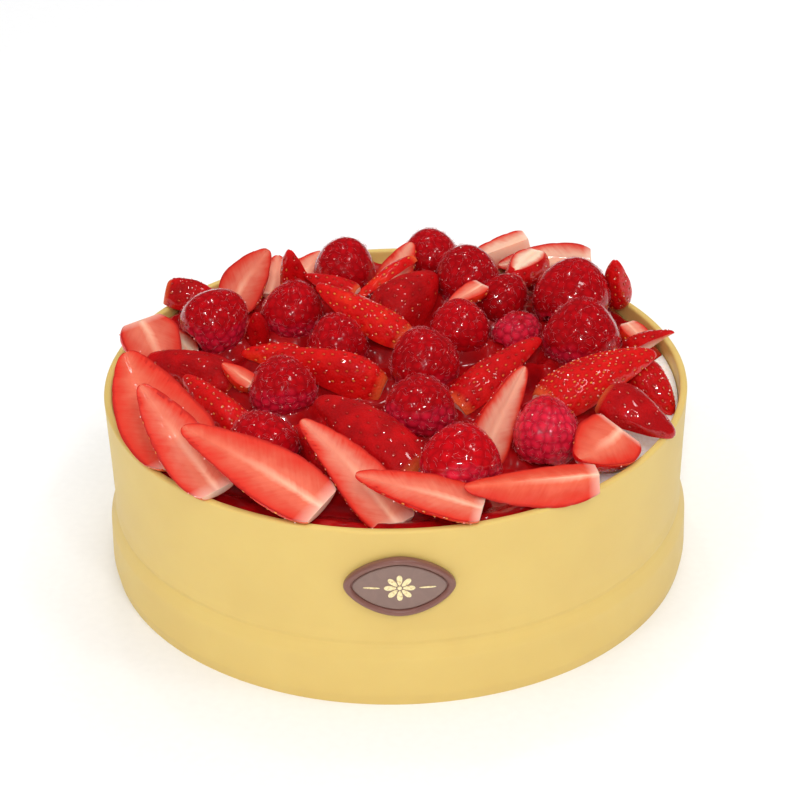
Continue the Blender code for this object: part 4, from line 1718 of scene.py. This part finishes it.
@dataclass
class Daisy:
    """The print on the plaque: a small daisy between two thin bars, in millimetres."""

    petals: int = 8
    petal_middle: float = 2.9
    petal_half: float = 1.9
    petal_breadth: float = 0.85
    petal_swell: float = 0.3
    eye: float = 0.7
    bar_middle: float = 8.6
    bar_half: float = 2.6
    bar_breadth: float = 0.3
    corners: int = 16

    def outlines(self) -> list:
        """Each form's points, as its distances across and up from the plaque's middle.

        Returns:
            A pair of arrays for each form.
        """
        angle = np.linspace(0, math.tau, self.corners, endpoint=False)
        along = self.petal_middle + self.petal_half * np.cos(angle)
        aside = self.petal_breadth * np.sin(angle) * (1 + self.petal_swell * np.cos(angle))
        found = []
        for petal in range(self.petals):
            turn = math.tau * petal / self.petals
            found.append((along * math.cos(turn) - aside * math.sin(turn),
                          along * math.sin(turn) + aside * math.cos(turn)))
        found.append((self.eye * np.cos(angle), self.eye * np.sin(angle)))
        for side in (-1, 1):
            found.append((side * self.bar_middle + self.bar_half * np.cos(angle),
                          self.bar_breadth * np.sin(angle)))
        return found

@dataclass
class ChocolatePlaque:
    """The oval plaque: a rounded border, a groove, and a field that comes to soft points."""

    length: float = 35.0
    height: float = 22.0
    thickness: float = 2.6
    around: int = 160
    pointed: float = 0.4
    point_power: float = 1.7
    field_lines: int = 3
    field_rings: int = 10
    field_shares: tuple = (0.9, 0.08)
    print_back: float = 1.9
    print_front: float = 2.12
    def on_band(self, across: np.ndarray, up: np.ndarray, out: np.ndarray) -> np.ndarray:
        """Bend flat points of the plaque round the front of the band.

        Args:
            across: Distance to the right of the plaque's middle, in millimetres.
            up: Distance above its middle.
            out: Distance out from its back.

        Returns:
            Points in metres.
        """
        height = PLAQUE_CENTRE + up
        heights, radii = zip(*BAND_STATIONS)
        radius = np.interp(height, heights, radii)
        angle = across / radius - math.pi / 2
        reach = radius + GAP + out
        return np.stack([reach * np.cos(angle), reach * np.sin(angle), height], -1) * MM

    def ring(self, inset: float, out: float, share: float) -> np.ndarray:
        """One line round the plaque.

        Args:
            inset: How far it lies in from the edge, in millimetres.
            out: How far it stands out.
            share: How much of that line's size it has, for the lines on the field.

        Returns:
            The line's points in metres.
        """
        angle = math.tau * np.arange(self.around) / self.around
        across = (self.length / 2 - inset * 1.1) * np.cos(angle)
        oval = np.abs(np.sin(angle))
        lens = 1 - np.abs(np.cos(angle)) ** self.point_power
        full = oval * (1 - self.pointed) + lens * self.pointed
        up = (self.height / 2 - inset) * np.sign(np.sin(angle)) * full
        return self.on_band(across * share, up * share, np.full(self.around, out))

    def build(self, chocolate: bpy.types.Material, gold: bpy.types.Material) -> None:
        """Model the plaque and its print, and dress them.

        Args:
            chocolate: The plaque's material.
            gold: The print's material.
        """
        front = self.thickness
        lines = [(1.0, 0.0), (0.25, 0.0), (0.0, 0.35), (0.0, 1.3), (0.12, 1.9), (0.4, 2.35),
                 (0.8, front), (1.3, front - 0.02), (1.8, 2.4), (2.1, 2.1), (2.25, 1.9),
                 (2.35, 1.4), (2.6, 1.4), (2.7, 1.8), (2.95, 1.95), (3.4, 2.0)]
        rings = [self.ring(inset, out, 1.0) for inset, out in lines]
        shares = np.linspace(*self.field_shares, self.field_rings)
        rings += [self.ring(*lines[-1], share) for share in shares]
        piece = mesh_piece("chocolate_plaque_piece", np.concatenate(rings),
                           tube_faces(0, self.around, len(rings)))
        field = np.zeros(len(rings) * self.around)
        field[(len(lines) - self.field_lines) * self.around:] = 1.0
        piece.data.attributes.new("field", "FLOAT", "POINT").data.foreach_set("value", field)
        clean_up(piece)
        bpy.ops.object.shade_smooth_by_angle(angle=CRISP_EDGE)
        finish_piece(piece, (chocolate,), ("chocolate_plaque",))
        points, faces = [], []
        for across, up in Daisy().outlines():
            count = len(across)
            faces += tube_faces(sum(len(block) for block in points), count, 2)
            for out in (self.print_back, self.print_front):
                points.append(self.on_band(across, up, np.full(count, out)))
        piece = mesh_piece("plaque_print", np.concatenate(points), faces)
        clean_up(piece)
        bpy.ops.object.shade_smooth_by_angle(angle=math.radians(30))
        finish_piece(piece, (gold,))


@dataclass(frozen=True)
class Softbox:
    """A square light that faces the tart. Wet surfaces show it where mirrored is true."""

    name: str
    place: tuple
    size: float
    power: float
    mirrored: bool
    aim: tuple = (0.0, 0.0, 0.05)

    def build(self) -> None:
        """Set the light on its stand."""
        light = bpy.data.lights.new(self.name, "AREA")
        light.shape = "SQUARE"
        light.size = self.size
        light.energy = self.power
        stand = bpy.data.objects.new(self.name, light)
        bpy.context.scene.collection.objects.link(stand)
        stand.location = self.place
        stand.visible_glossy = self.mirrored
        towards = Vector(self.aim) - Vector(self.place)
        stand.rotation_euler = towards.to_track_quat("-Z", "Y").to_euler()


@dataclass
class Studio:
    """White paper, soft light from the front and above, and the camera.

    The large lights make the soft shading, and the small ones the glaze's crisp highlights. glow
    is how bright the room is, and mirrored_glow how bright wet surfaces show it.
    """

    lens: float = 107.69
    place: tuple = (0.0, -0.7210, 0.4645)
    turn: tuple = (60.4303, 0.9558, -0.6560)
    floor_size: float = 12.0
    glow: float = 0.66
    mirrored_glow: float = 0.04
    lights: tuple = (
        Softbox("key", (0.25, -1.1, 1.3), 0.7, 5.8, False),
        Softbox("fill", (-1.2, -0.5, 0.9), 0.8, 2.0, False),
        Softbox("flash", (-0.05, -0.95, 0.72), 0.05, 2.2, True),
        Softbox("lamp", (0.5, -0.2, 1.2), 0.16, 1.2, True),
        Softbox("spark", (0.3, -0.7, 1.0), 0.04, 0.7, True),
        Softbox("glint", (-0.45, -0.5, 1.1), 0.05, 0.7, True),
        Softbox("gleam", (-0.1, 0.5, 1.3), 0.05, 0.8, True),
        Softbox("rear", (0.4, 1.4, 1.3), 1.0, 8.5, False),
    )

    def build(self) -> None:
        """Set the floor, the lights and the camera."""
        scene = bpy.context.scene
        scene.view_settings.view_transform = "Standard"
        bpy.ops.object.select_all(action="DESELECT")
        bpy.ops.mesh.primitive_plane_add(size=self.floor_size)
        floor = bpy.context.object
        floor.name = "studio_floor"
        floor.data.materials.append(StudioPaper().make())
        world = bpy.data.worlds.new("studio")
        world.use_nodes = True
        scene.world = world
        back = world.node_tree.nodes["Background"]
        rays = add_node(world.node_tree, "ShaderNodeLightPath")
        dim = add_node(world.node_tree, "ShaderNodeMapRange", {
            "Value": rays.outputs["Is Glossy Ray"], "To Min": self.glow, "To Max": self.mirrored_glow})
        plug_in(world.node_tree, back, {"Color": (1.0, 1.0, 1.0, 1.0), "Strength": dim})
        for light in self.lights:
            light.build()
        camera = bpy.data.cameras.new("camera")
        camera.lens = self.lens
        camera.sensor_width = 36.0
        camera.clip_start = 0.01
        stand = bpy.data.objects.new("camera", camera)
        scene.collection.objects.link(stand)
        stand.location = self.place
        stand.rotation_euler = Euler([math.radians(angle) for angle in self.turn])
        scene.camera = stand
        LOG.info("studio: floor, lights and camera")


def main() -> None:
    """Build the tart and its studio, piece by piece."""
    logging.basicConfig(level=logging.INFO, format="%(name)s %(message)s")
    skin = StrawberrySkin().make()
    flesh = StrawberryFlesh().make()
    drupelets = RaspberrySkin().make()
    seeds, feet = [], []
    for fruit in FRUIT:
        if fruit.kind is Kind.RASPBERRY:
            feet += Raspberry(fruit).build(drupelets)
        else:
            seeds += Strawberry(fruit).build(skin, flesh)
    SeedScatter().build(seeds, SeedHusk().make())
    HairScatter().build(feet, DriedStyle().make())
    GlazeBeads().build(seeds, feet, GlazeBeadGlints().make())
    CreamFilling().build(WhippedCream().make())
    JellyPool().build(FruitJelly().make())
    MarzipanBand().build(Marzipan().make())
    ChocolatePlaque().build(DarkChocolate().make(), PrintedCocoaButter().make())
    Studio().build()


if __name__ == "__main__":
    main()
